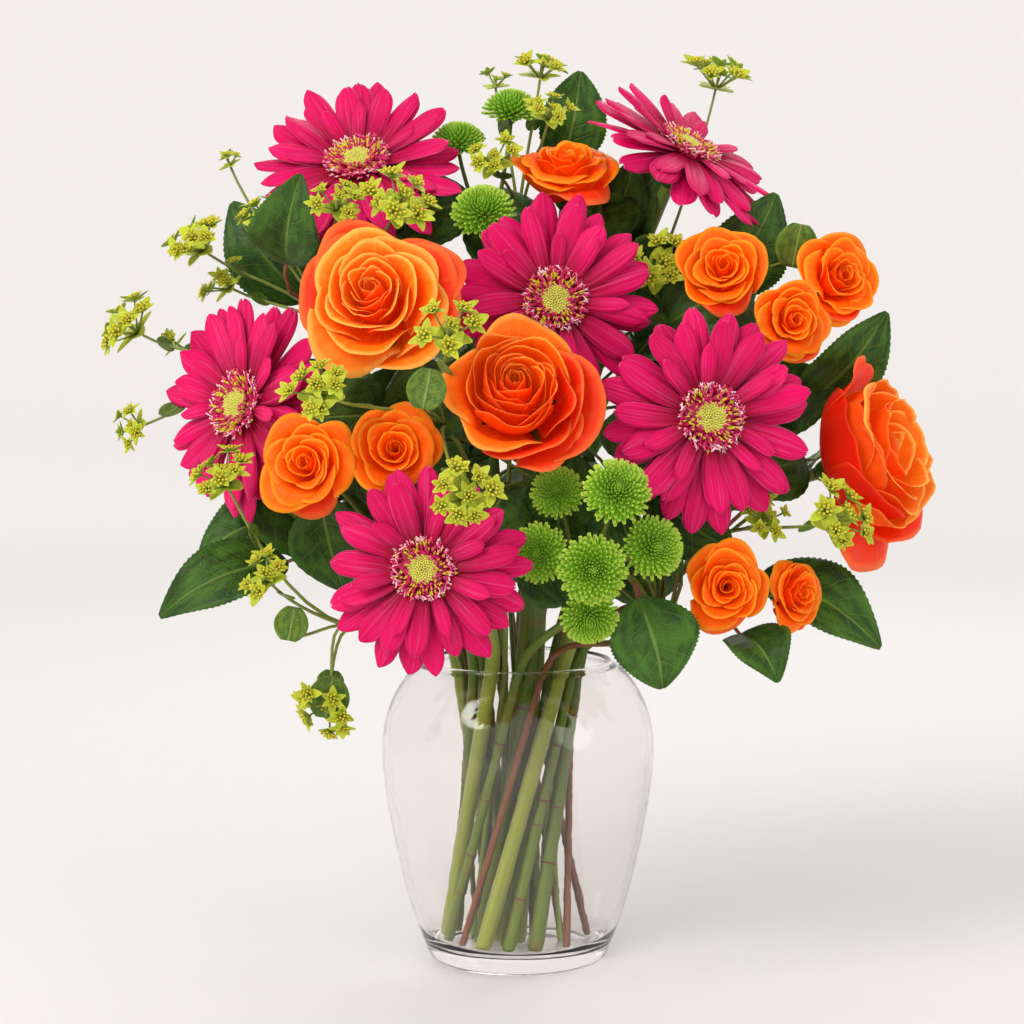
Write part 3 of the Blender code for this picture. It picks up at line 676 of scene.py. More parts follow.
gerbera = {
    "blooms": [
        head((-0.080, 0.004, 0.403), (-0.12, -0.62, 0.78), 0.054, neck=(0.019, 170)),
        head((0.018, -0.060, 0.334), (0.10, -0.97, 0.20), 0.051, neck=(0.0085, 285)),
        # the third is tipped a little further than its stem
        head((0.086, 0.004, 0.410), (0.34, -0.42, 0.84), 0.053, neck=(0.0085, 345), tip=(0.45, -0.30, 0.84)),
        head((-0.138, -0.040, 0.283), (-0.66, -0.70, 0.28), 0.055, neck=(0.030, 178)),
        head((0.090, -0.100, 0.280), (0.22, -0.96, 0.16), 0.053, neck=(0.030, 315)),
        head((-0.044, -0.128, 0.212), (-0.12, -0.98, 0.14), 0.049, neck=(0.030, 244)),
    ],
    "lift": [(8, 16), (6, 5), (4, 7), (8, 8), (6, 5), (4, 3)],  # degrees: all round, and more upwards
    "rows": [
        dict(count=18, length=0.87, width=0.128, start=0.15, lift=-3, droop=12, height=-0.13),
        dict(count=15, length=0.78, width=0.118, start=0.15, lift=7, droop=16, height=-0.10),
        dict(count=7, length=0.52, width=0.070, start=0.17, lift=15, droop=14, height=-0.07),
    ],
    "grid": (17, 11),
    "thick": 0.0005,
    "stem": 0.0040,
    "discRing": (0.12, 0.25),
    "buds": 120,
    "florets": 170,
    "anthers": 52,
    "threads": 110,
}


def addGerberaPetal(bag, place, size, turn, row, lift, rng):
    u, v = spread(*gerbera["grid"])
    v = 1 - (1 - v) ** 1.45
    length = row["length"] * rng.uniform(0.88, 1.04)
    half = row["width"] * rng.uniform(0.86, 1.12)
    shape = 0.34 + 0.66 * np.sin(np.pi / 2 * np.minimum(v / 0.66, 1)) ** 0.9
    shape = shape * np.sqrt(1 - (np.maximum(v - 0.7, 0) / 0.302) ** 2.3 * 0.96)
    notch = rng.choice((0.0, 0.01, 0.03, 0.05))
    notch = notch * np.exp(-(((np.abs(u) - rng.uniform(0.15, 0.4)) / 0.16) ** 2))
    spot = v * (1 - 0.035 * np.abs(u) ** 2.2 * v**3 - notch * v**12)
    droop = row["droop"] * rng.uniform(0.5, 1.5) - 0.6 * lift
    fine = np.linspace(0, 1, 40)
    bend = np.radians(row["lift"] + lift + rng.uniform(-5, 5) - droop * fine**1.6)
    radial = row["start"] + length * np.concatenate([[0], np.cumsum(np.cos(bend[1:])) / 39])
    rise = row["height"] + length * np.concatenate([[0], np.cumsum(np.sin(bend[1:])) / 39])
    slope = np.interp(spot, fine, bend)
    curl = rng.uniform(0.05, 0.5)
    pleats = 0.045 * np.cos(3 * np.pi * u) * np.sin(np.pi * v)
    hollow = half * (pleats - curl * u**2 * (0.35 + 0.65 * v) * 0.7)
    hollow = hollow + half * rng.uniform(-0.12, 0.12) * np.sin(3.3 * v + 2.2 * u)
    across = half * shape * u
    twist = math.radians(rng.uniform(-16, 16)) * v
    offset = across * np.sin(twist) + hollow * np.cos(twist)
    across = across * np.cos(twist) - hollow * np.sin(twist)
    across = across + rng.uniform(-0.08, 0.08) * v**2
    out = np.interp(spot, fine, radial) - np.sin(slope) * offset
    up = np.interp(spot, fine, rise) + np.cos(slope) * offset
    addSheet(bag, standing(place, size, turn, out, across, up), gerbera["thick"], rng.random())


def addFloret(bag, place, size, turn, radius, height, lean, long, rng, slot, tipSlot):
    # a tiny trumpet with a split mouth
    start = polar(turn, radius * 0.93, height)
    out = Vector((math.cos(turn + rng.uniform(-0.4, 0.4)), math.sin(turn + rng.uniform(-0.4, 0.4)), 0))
    way = (out * math.sin(lean) + Vector((0, 0, math.cos(lean)))).normalized()
    end = start + way * long
    line = [place @ (point * size) for point in (start, start.lerp(end, 0.6), end)]
    thick = rng.uniform(0.008, 0.011) * size
    tone = rng.random()
    addTube(bag, line, [thick * 0.7, thick * 0.8, thick * 1.2], 5, tone * 0.5, slot)
    lobes = rng.choice((3, 3, 4))
    spin = rng.uniform(0, 6)
    for lobe in range(lobes):
        bend = spin + 2 * math.pi * lobe / lobes
        sideways = out * math.cos(bend) + Vector((0, 0, 1)).cross(out) * math.sin(bend)
        tip = end + way * 0.012 + sideways * rng.uniform(0.012, 0.022) + out * 0.008
        middle = end.lerp(tip, 0.5) + way * 0.006
        points = [place @ (point * size) for point in (end, middle, tip)]
        addTube(bag, points, [thick * 0.8, thick * 0.62, thick * 0.2], 3, 1.0, tipSlot)


def addBract(bag, place, size, turn, low, high, wide, rng):
    # a small pointed scale lying against the cup behind the head
    u, v = spread(7, 5)
    half = 0.038 * np.sin(np.pi * (0.12 + 0.82 * v)) ** 0.8
    out = 0.075 + (wide - 0.06) * v**0.8 + 0.012 * (1 - u**2) + 0.006
    grid = standing(place, size, turn, out, -half * u, low + (high - low) * v)
    addSheet(bag, grid, 0.0005, rng.random(), 1)


def addSpike(bag, place, size, start, way, radius, long, tone, slot=0, sides=6):
    way = wayOf(place, way.normalized())
    addBead(bag, place @ (start * size), way, radius * size, long * size, tone, slot, sides)


def makeGerberaDisc(number, place, size, rng):
    disc = newBag()
    widths = (0.05, 0.15, 0.21, 0.22, 0.18, 0.12, 0.08, 0.01)
    heights = [-0.125 + 0.015 * spot for spot in range(len(widths))]
    addTrunk(disc, place, size, heights, widths, 24, 0.4, 1)
    inner, outer = gerbera["discRing"]
    for bud in range(gerbera["buds"]):
        share = math.sqrt((bud + 0.5) / gerbera["buds"])
        start = polar(bud * golden, inner * 1.05 * share, -0.02 - 0.02 * share)
        way = Vector((start.x * 1.5, start.y * 1.5, 0.5))
        thick, long = 0.012 + 0.004 * share, 0.036 + 0.018 * share
        addSpike(disc, place, size, start, way, thick, long, rng.random())
    for floret in range(gerbera["florets"]):
        share = (floret + 0.5) / gerbera["florets"]
        radius = math.sqrt(inner**2 + (outer**2 - inner**2) * share) + rng.uniform(-0.01, 0.01)
        turn = floret * golden + rng.uniform(-0.1, 0.1)
        lean = math.radians(5 + 48 * share + rng.uniform(-10, 10))
        long = rng.uniform(0.055, 0.085) + 0.02 * share
        tipSlot = 2 if share > rng.uniform(0.5, 1.2) else rng.choice((1, 1, 1, 3))
        addFloret(disc, place, size, turn, radius, -0.055 - 0.035 * share, lean, long, rng, 1, tipSlot)
    for anther in range(gerbera["anthers"]):
        turn = rng.uniform(0, 2 * math.pi)
        start = polar(turn, rng.uniform(inner * 1.05, outer * 0.93), -0.025)
        way = Vector((start.x * 1.6, start.y * 1.6, 0.35))
        addSpike(disc, place, size, start, way, 0.0075, 0.080, 0.8, 3, 5)
    for thread in range(gerbera["threads"]):  # pale threads with curled tips round the edge of the disc
        turn = rng.uniform(0, 2 * math.pi)
        sweep = turn + rng.uniform(-0.25, 0.25)
        near, far = rng.uniform(0.20, 0.25), rng.uniform(0.26, 0.315)
        points = [(turn, near, -0.06), (turn, (near + far) / 2, -0.01), (sweep, far, rng.uniform(0.0, 0.04))]
        bow = [place @ (polar(*point) * size) for point in points]
        addTube(disc, bow, np.array([0.006, 0.005, 0.0065]) * size, 4, 0.9, rng.choice((1, 1, 2)))
    finishes = ("gerberaDisc", "gerberaFloret", "floretTip", "yellowFloret")
    makePiece(disc, f"gerberaDisc{number}", finishes, "gerbera_disc", f"gerbera_{number}_disc")


def makeGerbera(number, bloom):
    rng = random.Random(100 + number)
    size = bloom["radius"]
    place = placeOf(bloom)
    lift, liftUp = gerbera["lift"][number - 1]
    petals = newBag()
    for order, row in enumerate(gerbera["rows"]):
        for step in range(row["count"]):
            turn = 2 * math.pi * (step + 0.37 * order + rng.uniform(-0.3, 0.3)) / row["count"]
            raised = lift * 0.6 + liftUp * math.sin(turn)
            addGerberaPetal(petals, place, size, turn, row, raised, rng)
    node = f"gerbera_{number}_petals"
    makePiece(petals, f"gerberaPetals{number}", ["gerberaPetal"], "gerbera_petal", node)
    makeGerberaDisc(number, place, size, rng)

    stem = newBag()
    line = mainStem(bloom["neck"], place @ Vector((0, 0, -0.42 * size)), Vector(bloom["look"]), 24)
    line.append(place @ Vector((0, 0, -0.2 * size)))
    addStem(stem, line, gerbera["stem"], 0.82, rng, 0, 27, None, 9, 0.035)
    heights = (-0.50, -0.42, -0.34, -0.26, -0.20, -0.15)
    addTrunk(stem, place, size, heights, (0.055, 0.075, 0.115, 0.16, 0.19, 0.20), 20, 0.5, 1)
    for order, (count, low, high, wide) in enumerate(((14, -0.38, -0.17, 0.21), (12, -0.40, -0.24, 0.185))):
        for step in range(count):
            turn = 2 * math.pi * (step + 0.5 * order) / count + rng.uniform(-0.08, 0.08)
            addBract(stem, place, size, turn, low, high, wide, rng)
    makePiece(stem, f"gerberaStem{number}", ("paleStem", "leaf"), "gerbera_stem", f"gerbera_{number}_stem")

for number, bloom in enumerate(gerbera["blooms"], 1):
    makeGerbera(number, bloom)
print("gerberas:", len(gerbera["blooms"]), "heads with their discs and stems")

# ---------- roses and spray roses ----------

rose = {
    "blooms": [
        head((-0.066, -0.092, 0.335), (-0.14, -0.92, 0.36), 0.037, neck=(0.019, 210)),
        # the second bud looks up a little more than its stem
        head((0.000, -0.118, 0.292), (0.02, -0.98, 0.18), 0.036, neck=(0.019, 290), tip=(0.03, -0.91, 0.42)),
        head((0.172, -0.036, 0.256), (0.85, -0.48, 0.30), 0.037, neck=(0.030, 357)),
    ],
    "stem": 0.0037,
    "thick": 0.0004,
}

# each shape's numbers run from the innermost petal to the outermost
openRose = {
    "petals": 32,
    "layers": 6,
    "rim": (0.05, 0.16, 0.32, 0.52, 0.74, 0.90),
    "top": (0.26, 0.34, 0.38, 0.36, 0.26, 0.06),
    "belly": (0.09, 0.16, 0.27, 0.42, 0.58, 0.66),
    "wrap": (100, 84, 68, 60, 56, 54),
    "curl": (0.0, 0.03, 0.07, 0.11, 0.15, 0.20),
    "drop": (0.16, 0.20, 0.22, 0.24, 0.26, 0.28),
    "guards": 6,
    "heart": (-0.06, 0.09),
    "blush": 80,  # degrees: the side where the outermost petals are red
    "grid": (17, 19),
    "inner": "rosePetal",
    # petals out of the ring: turn in degrees, rim, top, wrap, curl
    "extras": [(128, 0.99, 0.05, 48, 0.20), (38, 0.99, 0.03, 46, 0.20)],
}
budRose = dict(
    openRose,
    petals=33,
    rim=(0.04, 0.14, 0.27, 0.42, 0.56, 0.88),
    top=(0.36, 0.42, 0.47, 0.47, 0.38, 0.06),
    belly=(0.08, 0.17, 0.31, 0.48, 0.62, 0.72),
    curl=(0.0, 0.02, 0.04, 0.06, 0.09, 0.24),
    guards=8,
    blush=-10,
    inner="deepPetal",
    extras=[(-8, 1.02, 0.08, 60, 0.14), (-50, 0.93, 0.02, 42, 0.16)],
)
sideRose = dict(
    openRose,
    petals=24,
    rim=(0.06, 0.26, 0.50, 0.70, 0.84, 0.94),
    top=(0.34, 0.50, 0.62, 0.60, 0.46, 0.30),
    belly=(0.10, 0.28, 0.48, 0.70, 0.88, 0.98),
    curl=(0.0, 0.05, 0.12, 0.16, 0.14, 0.08),
    guards=4,
    blush=180,
    extras=[(-95, 1.22, -0.14, 46, 0.34), (-40, 1.0, 0.30, 50, 0.30), (92, 1.12, 0.40, 34, 0.20)],
)
sprayRose = dict(
    openRose,
    petals=25,
    layers=5,
    rim=(0.05, 0.20, 0.38, 0.58, 0.80, 0.98),
    top=(0.32, 0.38, 0.42, 0.38, 0.28, 0.06),
    curl=(0.0, 0.05, 0.11, 0.16, 0.20, 0.24),
    guards=3,
    heart=(0.05, 0.05),
    blush=-120,
    grid=(13, 17),
    extras=[],
)
spray = {
    "stems": [
        {
            "neck": (0.030, 224),
            "fork": (-0.062, -0.064, 0.214),
            "blooms": [
                head((-0.099, -0.097, 0.257), (-0.30, -0.92, 0.22), 0.022),
                head((-0.058, -0.102, 0.264), (-0.04, -0.96, 0.26), 0.021),
            ],
        },
        {
            "neck": (0.019, 330),
            "fork": (0.094, -0.014, 0.288),
            "blooms": [
                head((0.098, -0.044, 0.347), (-0.08, -0.90, 0.42), 0.022),
                head((0.157, -0.020, 0.342), (0.40, -0.84, 0.34), 0.022),
                head((0.131, -0.050, 0.322), (0.28, -0.92, 0.20), 0.019),
            ],
        },
        {
            "neck": (0.030, 336),
            "fork": (0.082, -0.050, 0.180),
            "blooms": [
                head((0.097, -0.094, 0.199), (0.06, -0.98, 0.10), 0.020),
                head((0.133, -0.070, 0.193), (0.66, -0.74, 0.06), 0.017),
            ],
        },
        {
            "neck": (0.0085, 45),
            "fork": (0.016, 0.006, 0.330),
            "blooms": [head((0.023, -0.008, 0.396), (0.06, -0.46, 0.88), 0.025)],
        },
    ],
    "stem": 0.0030,
    "twig": 0.0014,
    "thick": 0.00035,
}


def addRosePetal(bag, place, size, share, order, shape, thick, rng, slot, extra=None):
    steps = np.linspace(0, 1, len(shape["rim"]))
    layer = share * shape["layers"] * 0.999
    grown = (math.floor(layer) + 0.45 * (layer % 1) + 0.275) / shape["layers"]  # petals gather in layers
    rim, top, belly, wrap, curl, drop = [
        float(np.interp(grown, steps, shape[key])) for key in ("rim", "top", "belly", "wrap", "curl", "drop")
    ]
    rim *= rng.uniform(0.92, 1.06)
    top += rng.uniform(-0.06, 0.05)
    curl *= rng.uniform(0.4, 1.8)
    wrap *= rng.uniform(0.85, 1.15)
    turn = order * golden + rng.uniform(-0.35, 0.35)
    if extra:
        degrees, rim, top, wrap, curl = extra
        turn = math.radians(degrees)
    u, v = spread(*shape["grid"])
    spot = v * (1 - drop * np.abs(u) ** 2.6)
    corners = [(0.08 + 0.05 * share, -0.56), (belly, -0.46), (belly + 0.04, top - 0.34), (rim, top)]
    keep = [(1 - spot) ** 3, 3 * spot * (1 - spot) ** 2, 3 * spot**2 * (1 - spot), spot**3]
    radius = sum(weight * corner[0] for weight, corner in zip(keep, corners))
    height = sum(weight * corner[1] for weight, corner in zip(keep, corners))
    late = np.maximum(spot - 0.7, 0) / 0.3
    radius = radius + curl * 0.8 * late**1.5
    height = height - curl * 0.9 * late**2.2
    edge = np.maximum(np.abs(u) - 0.55, 0) / 0.45
    height = height - curl * 0.5 * edge**2 * spot
    radius = radius + curl * 0.5 * edge**2 * spot - (0.022 + 0.07 * share) * u * spot
    wave = rng.uniform(0, 6)
    ruffle = (0.028 + 0.034 * share) * spot**3
    waves = np.sin(3.1 * u + wave) + 0.3 * np.sin(9 * u + 2 * wave) + 0.14 * np.sin(21 * u + wave)
    height = height + ruffle * waves
    radius = radius + ruffle * 0.8 * np.sin(4.3 * u + 2 * wave) * np.minimum(1, 0.3 + share)
    radius = radius + rng.uniform(-0.5, 1.0) * 0.07 * share * np.exp(-((u / 0.3) ** 2)) * late
    radius = radius + rng.uniform(-0.05, 0.05) * share * (height + 0.56)
    height = height + rng.uniform(0.01, 0.075) * np.exp(-((u / rng.uniform(0.14, 0.3)) ** 2)) * late
    angle = turn + np.radians(wrap) * u * (0.5 + 0.5 * np.sin(np.pi / 2 * np.minimum(spot / 0.6, 1)))
    heartX, heartY = shape["heart"]
    x = radius * np.cos(angle) + heartX * (1 - share)
    y = radius * np.sin(angle) + heartY * (1 - share)
    grid = standing(place, size, 0.0, x, -y, height)
    # columns run the other way round, so the sheet's upper side is the one the heart of the bloom sees
    addSheet(bag, grid[:, ::-1], thick, rng.random(), slot, 0.4)


def addRose(bag, bloom, shape, thick, rng):
    place, size, petals = placeOf(bloom), bloom["radius"], shape["petals"]
    for order in range(petals):
        guard = order >= petals - shape["guards"]
        red = guard and math.cos(order * golden - math.radians(shape["blush"])) > 0.0
        share = order / (petals - 1)
        addRosePetal(bag, place, size, share, order, shape, thick, rng, int(red))
    for order, extra in enumerate(shape["extras"]):
        addRosePetal(bag, place, size, 1.0, order, shape, thick, rng, 1, extra)


def addHip(bag, bloom, rng, hip):
    # the swollen hip under the petals and five narrow sepals turned back from it
    size = bloom["radius"]
    place = facing(bloom["at"], bloom["look"])
    heights = (hip - 0.04, hip + 0.02, hip + 0.10, hip + 0.17, hip + 0.21)
    addTrunk(bag, place, size, heights, (0.07, 0.12, 0.155, 0.16, 0.12), 12, 0.6, 1)
    u, v = spread(10, 5)
    half = 0.085 * (1 - v) ** 0.7 + 0.006
    out = 0.14 + 0.62 * v - 0.10 * v**2 + 0.02 * u**2
    for sepal in range(5):
        turn = 2 * math.pi * (sepal + rng.uniform(-0.15, 0.15)) / 5
        back = rng.uniform(-0.3, 0.6)
        up = hip + 0.19 + 0.42 * v - back * v**2 * 0.6
        addSheet(bag, standing(place, size, turn, out, half * u, up), 0.0005, rng.random(), 1)


stemFinish = ("greenStem", "leaf", "brownStem")


def makeRose(number, bloom, shape):
    rng = random.Random(200 + number)
    petals = newBag()
    addRose(petals, bloom, shape, rose["thick"], rng)
    finishes = (shape["inner"], "guardPetal")
    makePiece(petals, f"roseBloom{number}", finishes, "rose_petal", f"rose_{number}_bloom")
    stem = newBag()
    line = mainStem(bloom["neck"], behind(bloom, -0.80), Vector(bloom["look"]), 24)
    addStem(stem, line, rose["stem"], 0.85, rng, 4, 14, 2)
    addHip(stem, bloom, rng, -0.80)
    makePiece(stem, f"roseStem{number}", stemFinish, "rose_stem", f"rose_{number}_stem")


def makeForked(kind, piece, sizes, addBloom, addBase, baseShare, finishes, slot):
    # forked stems with a bloom on each twig; returns how many blooms there are
    blooms = 0
    for number, plan in enumerate(sizes["stems"], 1):
        rng = random.Random(300 + number + 50 * len(kind))
        fork = Vector(plan["fork"])
        middle = sum((Vector(bloom["at"]) for bloom in plan["blooms"]), Vector()) / len(plan["blooms"])
        line = mainStem(plan["neck"], fork, middle - fork)
        stem = newBag()
        addStem(stem, line, sizes["stem"], 0.8, rng, 4, 14, 2, 5, 0.04)
        for count, bloom in enumerate(plan["blooms"]):
            blooms += 1
            petals = newBag()
            addBloom(petals, bloom, rng)
            makePiece(petals, f"{piece}{blooms}", finishes, slot, f"{kind}_{blooms}_bloom")
            side = twigLine(line, count, behind(bloom, baseShare), Vector(bloom["look"]))
            addTwig(stem, side, sizes["twig"], (1.15, 0.9), 9, rng)
            addBase(stem, bloom, rng)
        makePiece(stem, f"{piece}Stem{number}", stemFinish, "rose_stem", f"{kind}_stem_{number}")
    return blooms


def addSprayRose(bag, bloom, rng):
    addRose(bag, bloom, sprayRose, spray["thick"], rng)


def addSprayHip(bag, bloom, rng):
    addHip(bag, bloom, rng, -0.82)


for number, (bloom, shape) in enumerate(zip(rose["blooms"], (openRose, budRose, sideRose)), 1):
    makeRose(number, bloom, shape)
finishes = ("sprayPetal", "guardPetal")
sprays = makeForked(
    "spray_rose", "sprayRose", spray, addSprayRose, addSprayHip, -0.82, finishes, "spray_rose_petal"
)
print("roses:", len(rose["blooms"]), "large and", sprays, "on sprays")


# ---------- mums ----------

mum = {
    "stems": [
        {
            "neck": (0.0085, 165),
            "fork": (-0.014, 0.012, 0.340),
            "blooms": [
                head((-0.031, 0.024, 0.412), (-0.16, -0.40, 0.90), 0.0145),
                head((-0.003, 0.020, 0.428), (0.06, -0.34, 0.94), 0.0150),
                head((-0.017, -0.034, 0.377), (-0.04, -0.74, 0.66), 0.0160),
            ],
        },
        {
            "neck": (0.030, 270),
            "fork": (0.026, -0.066, 0.184),
            "blooms": [
                head((0.018, -0.094, 0.245), (-0.10, -0.92, 0.38), 0.0130),
                head((0.045, -0.134, 0.249), (0.08, -0.92, 0.40), 0.0160),
                head((0.063, -0.119, 0.221), (0.34, -0.92, 0.14), 0.0150),
                head((0.009, -0.106, 0.217), (-0.22, -0.96, 0.06), 0.0145),
                head((0.034, -0.132, 0.212), (0.04, -0.99, 0.06), 0.0165),
                head((0.033, -0.116, 0.187), (0.06, -0.90, -0.36), 0.0140),
            ],
        },
    ],
    "stem": 0.0026,
    "twig": 0.0011,
    "quills": 220,
    "thick": 0.00035,
}


def addMum(bag, bloom, rng):
    # quills in a golden spiral: short and closed in the heart, longer scoops towards the edge
    size = bloom["radius"]
    place = placeOf(bloom)
    u, v = spread(6, 5)
    for quill in range(mum["quills"]):
        share = math.sqrt((quill + 0.5) / mum["quills"])
        turn = quill * golden + rng.uniform(-0.05, 0.05)
        tilt = math.radians(6 + 104 * share**1.5)
        long = 0.30 + 0.42 * share
        half = 0.022 + 0.062 * share**1.4
        root = 0.10 + 0.22 * share
        bend = tilt - math.radians(34) * (v - 0.35) * (1 - 0.4 * share)
        out = root * share + long * v * np.sin(bend)
        up = 0.16 - 0.36 * share**2 + long * v * np.cos(bend) * (1.0 - 0.1 * share)
        width = half * (0.55 + 0.45 * np.sin(np.pi * np.minimum(v * 0.62, 0.5))) * np.sqrt(1.02 - v**6 * 0.7)
        scoop = half * 0.9 * u**2 * (0.5 + 0.5 * v)
        out = out - np.cos(bend) * scoop * 0.6
        up = up + np.sin(bend) * scoop
        grid = standing(place, size, turn, out, width * u * (1 - 0.12 * v**4), up)
        addSheet(bag, grid, mum["thick"], rng.uniform(0.2, 0.8) + 0.2 * share)
    addTrunk(bag, place, size, (-0.38, -0.26, -0.10, 0.06, 0.16), (0.16, 0.42, 0.46, 0.36, 0.10), 14, 0.3, 1)


def addMumBase(bag, bloom, rng):
    size = bloom["radius"]
    place = placeOf(bloom)
    addTrunk(bag, place, size, (-0.62, -0.54, -0.44, -0.34), (0.08, 0.16, 0.26, 0.32), 10, 0.5, 1)
    for step in range(12):
        addBract(bag, place, size, 2 * math.pi * step / 12, -0.52, -0.24, 0.44, rng)


mums = makeForked("mum", "mum", mum, addMum, addMumBase, -0.56, ("mumPetal", "leaf"), "mum_petal")
print("mums:", mums, "button blooms")


# ---------- hare's-ear ----------

hare = {
    "sprigs": [
        {
            "neck": (0.0085, 105),
            "fork": (0.000, 0.036, 0.372),
            "tips": [(-0.013, -0.006, 0.402, 0.010), (-0.012, 0.048, 0.443, 0.008)]
            + [(0.012, 0.040, 0.449, 0.011), (0.016, 0.000, 0.425, 0.009)],
        },
        {
            "neck": (0.019, 50),
            "fork": (0.066, 0.044, 0.330),
            "tips": [(0.104, 0.074, 0.446, 0.013), (0.068, -0.028, 0.350, 0.013)],
            "rounds": [(0.1355, -0.010, 0.352, 0.0115)],
        },
        {
            "neck": (0.019, 130),
            "fork": (-0.092, 0.008, 0.316),
            "tips": [(-0.160, -0.004, 0.361, 0.012), (-0.148, 0.014, 0.341, 0.010)]
            + [(-0.121, -0.008, 0.376, 0.013), (-0.146, 0.022, 0.402, 0.007)]
            + [(-0.086, -0.064, 0.380, 0.010), (-0.056, -0.064, 0.381, 0.013)],
        },
        {
            "neck": (0.0085, 225),
            "fork": (-0.128, -0.008, 0.300),
            "tips": [(-0.194, -0.006, 0.320, 0.013), (-0.192, -0.010, 0.270, 0.009)]
            + [(-0.174, 0.010, 0.312, 0.008)],
        },
        {
            "neck": (0.030, 202),
            "fork": (-0.082, -0.056, 0.176),
            "tips": [(-0.140, -0.084, 0.252, 0.012), (-0.120, -0.096, 0.206, 0.010)]
            + [(-0.094, -0.060, 0.136, 0.012)],
            "rounds": [(-0.0925, -0.062, 0.136, 0.011), (-0.1095, -0.070, 0.174, 0.009)],
        },
        {
            "neck": (0.019, 250),
            "fork": (-0.034, -0.058, 0.272),
            "tips": [(-0.092, -0.130, 0.295, 0.012), (-0.032, -0.138, 0.322, 0.011)]
            + [(-0.024, -0.162, 0.249, 0.012)],
            "rounds": [(-0.043, -0.130, 0.289, 0.0100)],
        },
        {
            "neck": (0.019, 10),
            "fork": (0.104, -0.052, 0.222),
            "tips": [(0.152, -0.086, 0.232, 0.013), (0.118, -0.072, 0.230, 0.009)],
        },
    ],
    "stem": 0.0014,
    "twig": 0.0008,
    "florets": 15,
}


def leafAxes(way, face):
    # a leaf's own axes: across it, along the way it grows, and out of its upper side
    y = Vector(way).normalized()
    x = Vector(face).cross(y).normalized() * -1
    return np.array([tuple(x), tuple(y), tuple(x.cross(y).normalized())])


def addPointedLeaf(bag, root, way, face, long, half, cup, tone, thick=0.0004, rows=9, cols=7):
    # one small pointed leaf or bract from its root, along a direction, with its upper side to face
    u, v = spread(rows, cols)
    width = half * np.sin(np.pi * (0.06 + 0.90 * v) ** 0.8) ** 0.75
    local = np.stack([width * u, long * v + 0 * u, cup * (width * np.abs(u) * 0.8)], 2)
    addSheet(bag, local @ leafAxes(way, face) + np.array(tuple(root)), thick, tone, 1)


def addUmbel(bag, at, look, size, rng):
    # a star of pointed bracts round a tuft of tiny florets
    place = facing(at, look)
    bracts = rng.choice((6, 6, 7))
    spin = rng.uniform(0, 6)
    root = place @ Vector((0, 0, -0.1 * size))
    for bract in range(bracts):
        turn = spin + 2 * math.pi * (bract + rng.uniform(-0.15, 0.15)) / bracts
        rise = rng.uniform(0.0, 0.9)
        way = wayOf(place, polar(turn, 1.0, rise))
        face = wayOf(place, polar(turn, -rise, 1))
        long = size * rng.uniform(0.7, 1.15)
        half = long * rng.uniform(0.22, 0.34)
        addPointedLeaf(bag, root, way, face, long, half, 0.5, rng.random(), 0.0003, 8, 5)
    for floret in range(hare["florets"]):
        share = math.sqrt((floret + 0.3) / hare["florets"])
        tip = polar(floret * golden, 0.48 * share, 0.34 - 0.1 * share) * size
        addTube(bag, [root, place @ (tip * 0.55), place @ tip], size * 0.022, 4, 0.5, 0, 10)
        out = wayOf(place, (tip.x, tip.y, 0.5 * size))
        addBead(bag, place @ tip, out, size * 0.075, size * 0.13, rng.random(), 2, 6)
        for lobe in range(4):
            sideways = wayOf(place, polar(2 * math.pi * lobe / 4 + floret, 1.0, 0.25))
            line = [place @ tip, (place @ tip) + sideways * size * 0.10]
            addTube(bag, line, [size * 0.04, size * 0.02], 3, 0.9, 2)


def addRoundLeaf(bag, at, way, face, size, tone):
    # a saucer-like leaf that its stem seems to pass through
    u, v = spread(14, 13)
    width = size * 0.92 * np.sin(np.pi * (0.07 + 0.87 * v)) ** 0.55
    up = 0.22 * size * ((u * width / size) ** 2 + (v - 0.4) ** 2 * 1.4)
    local = np.stack([width * u, size * (1.9 * v - 0.35) + 0 * u, up], 2)
    addSheet(bag, local @ leafAxes(way, face) + np.array(tuple(at)), 0.0005, tone, 3)


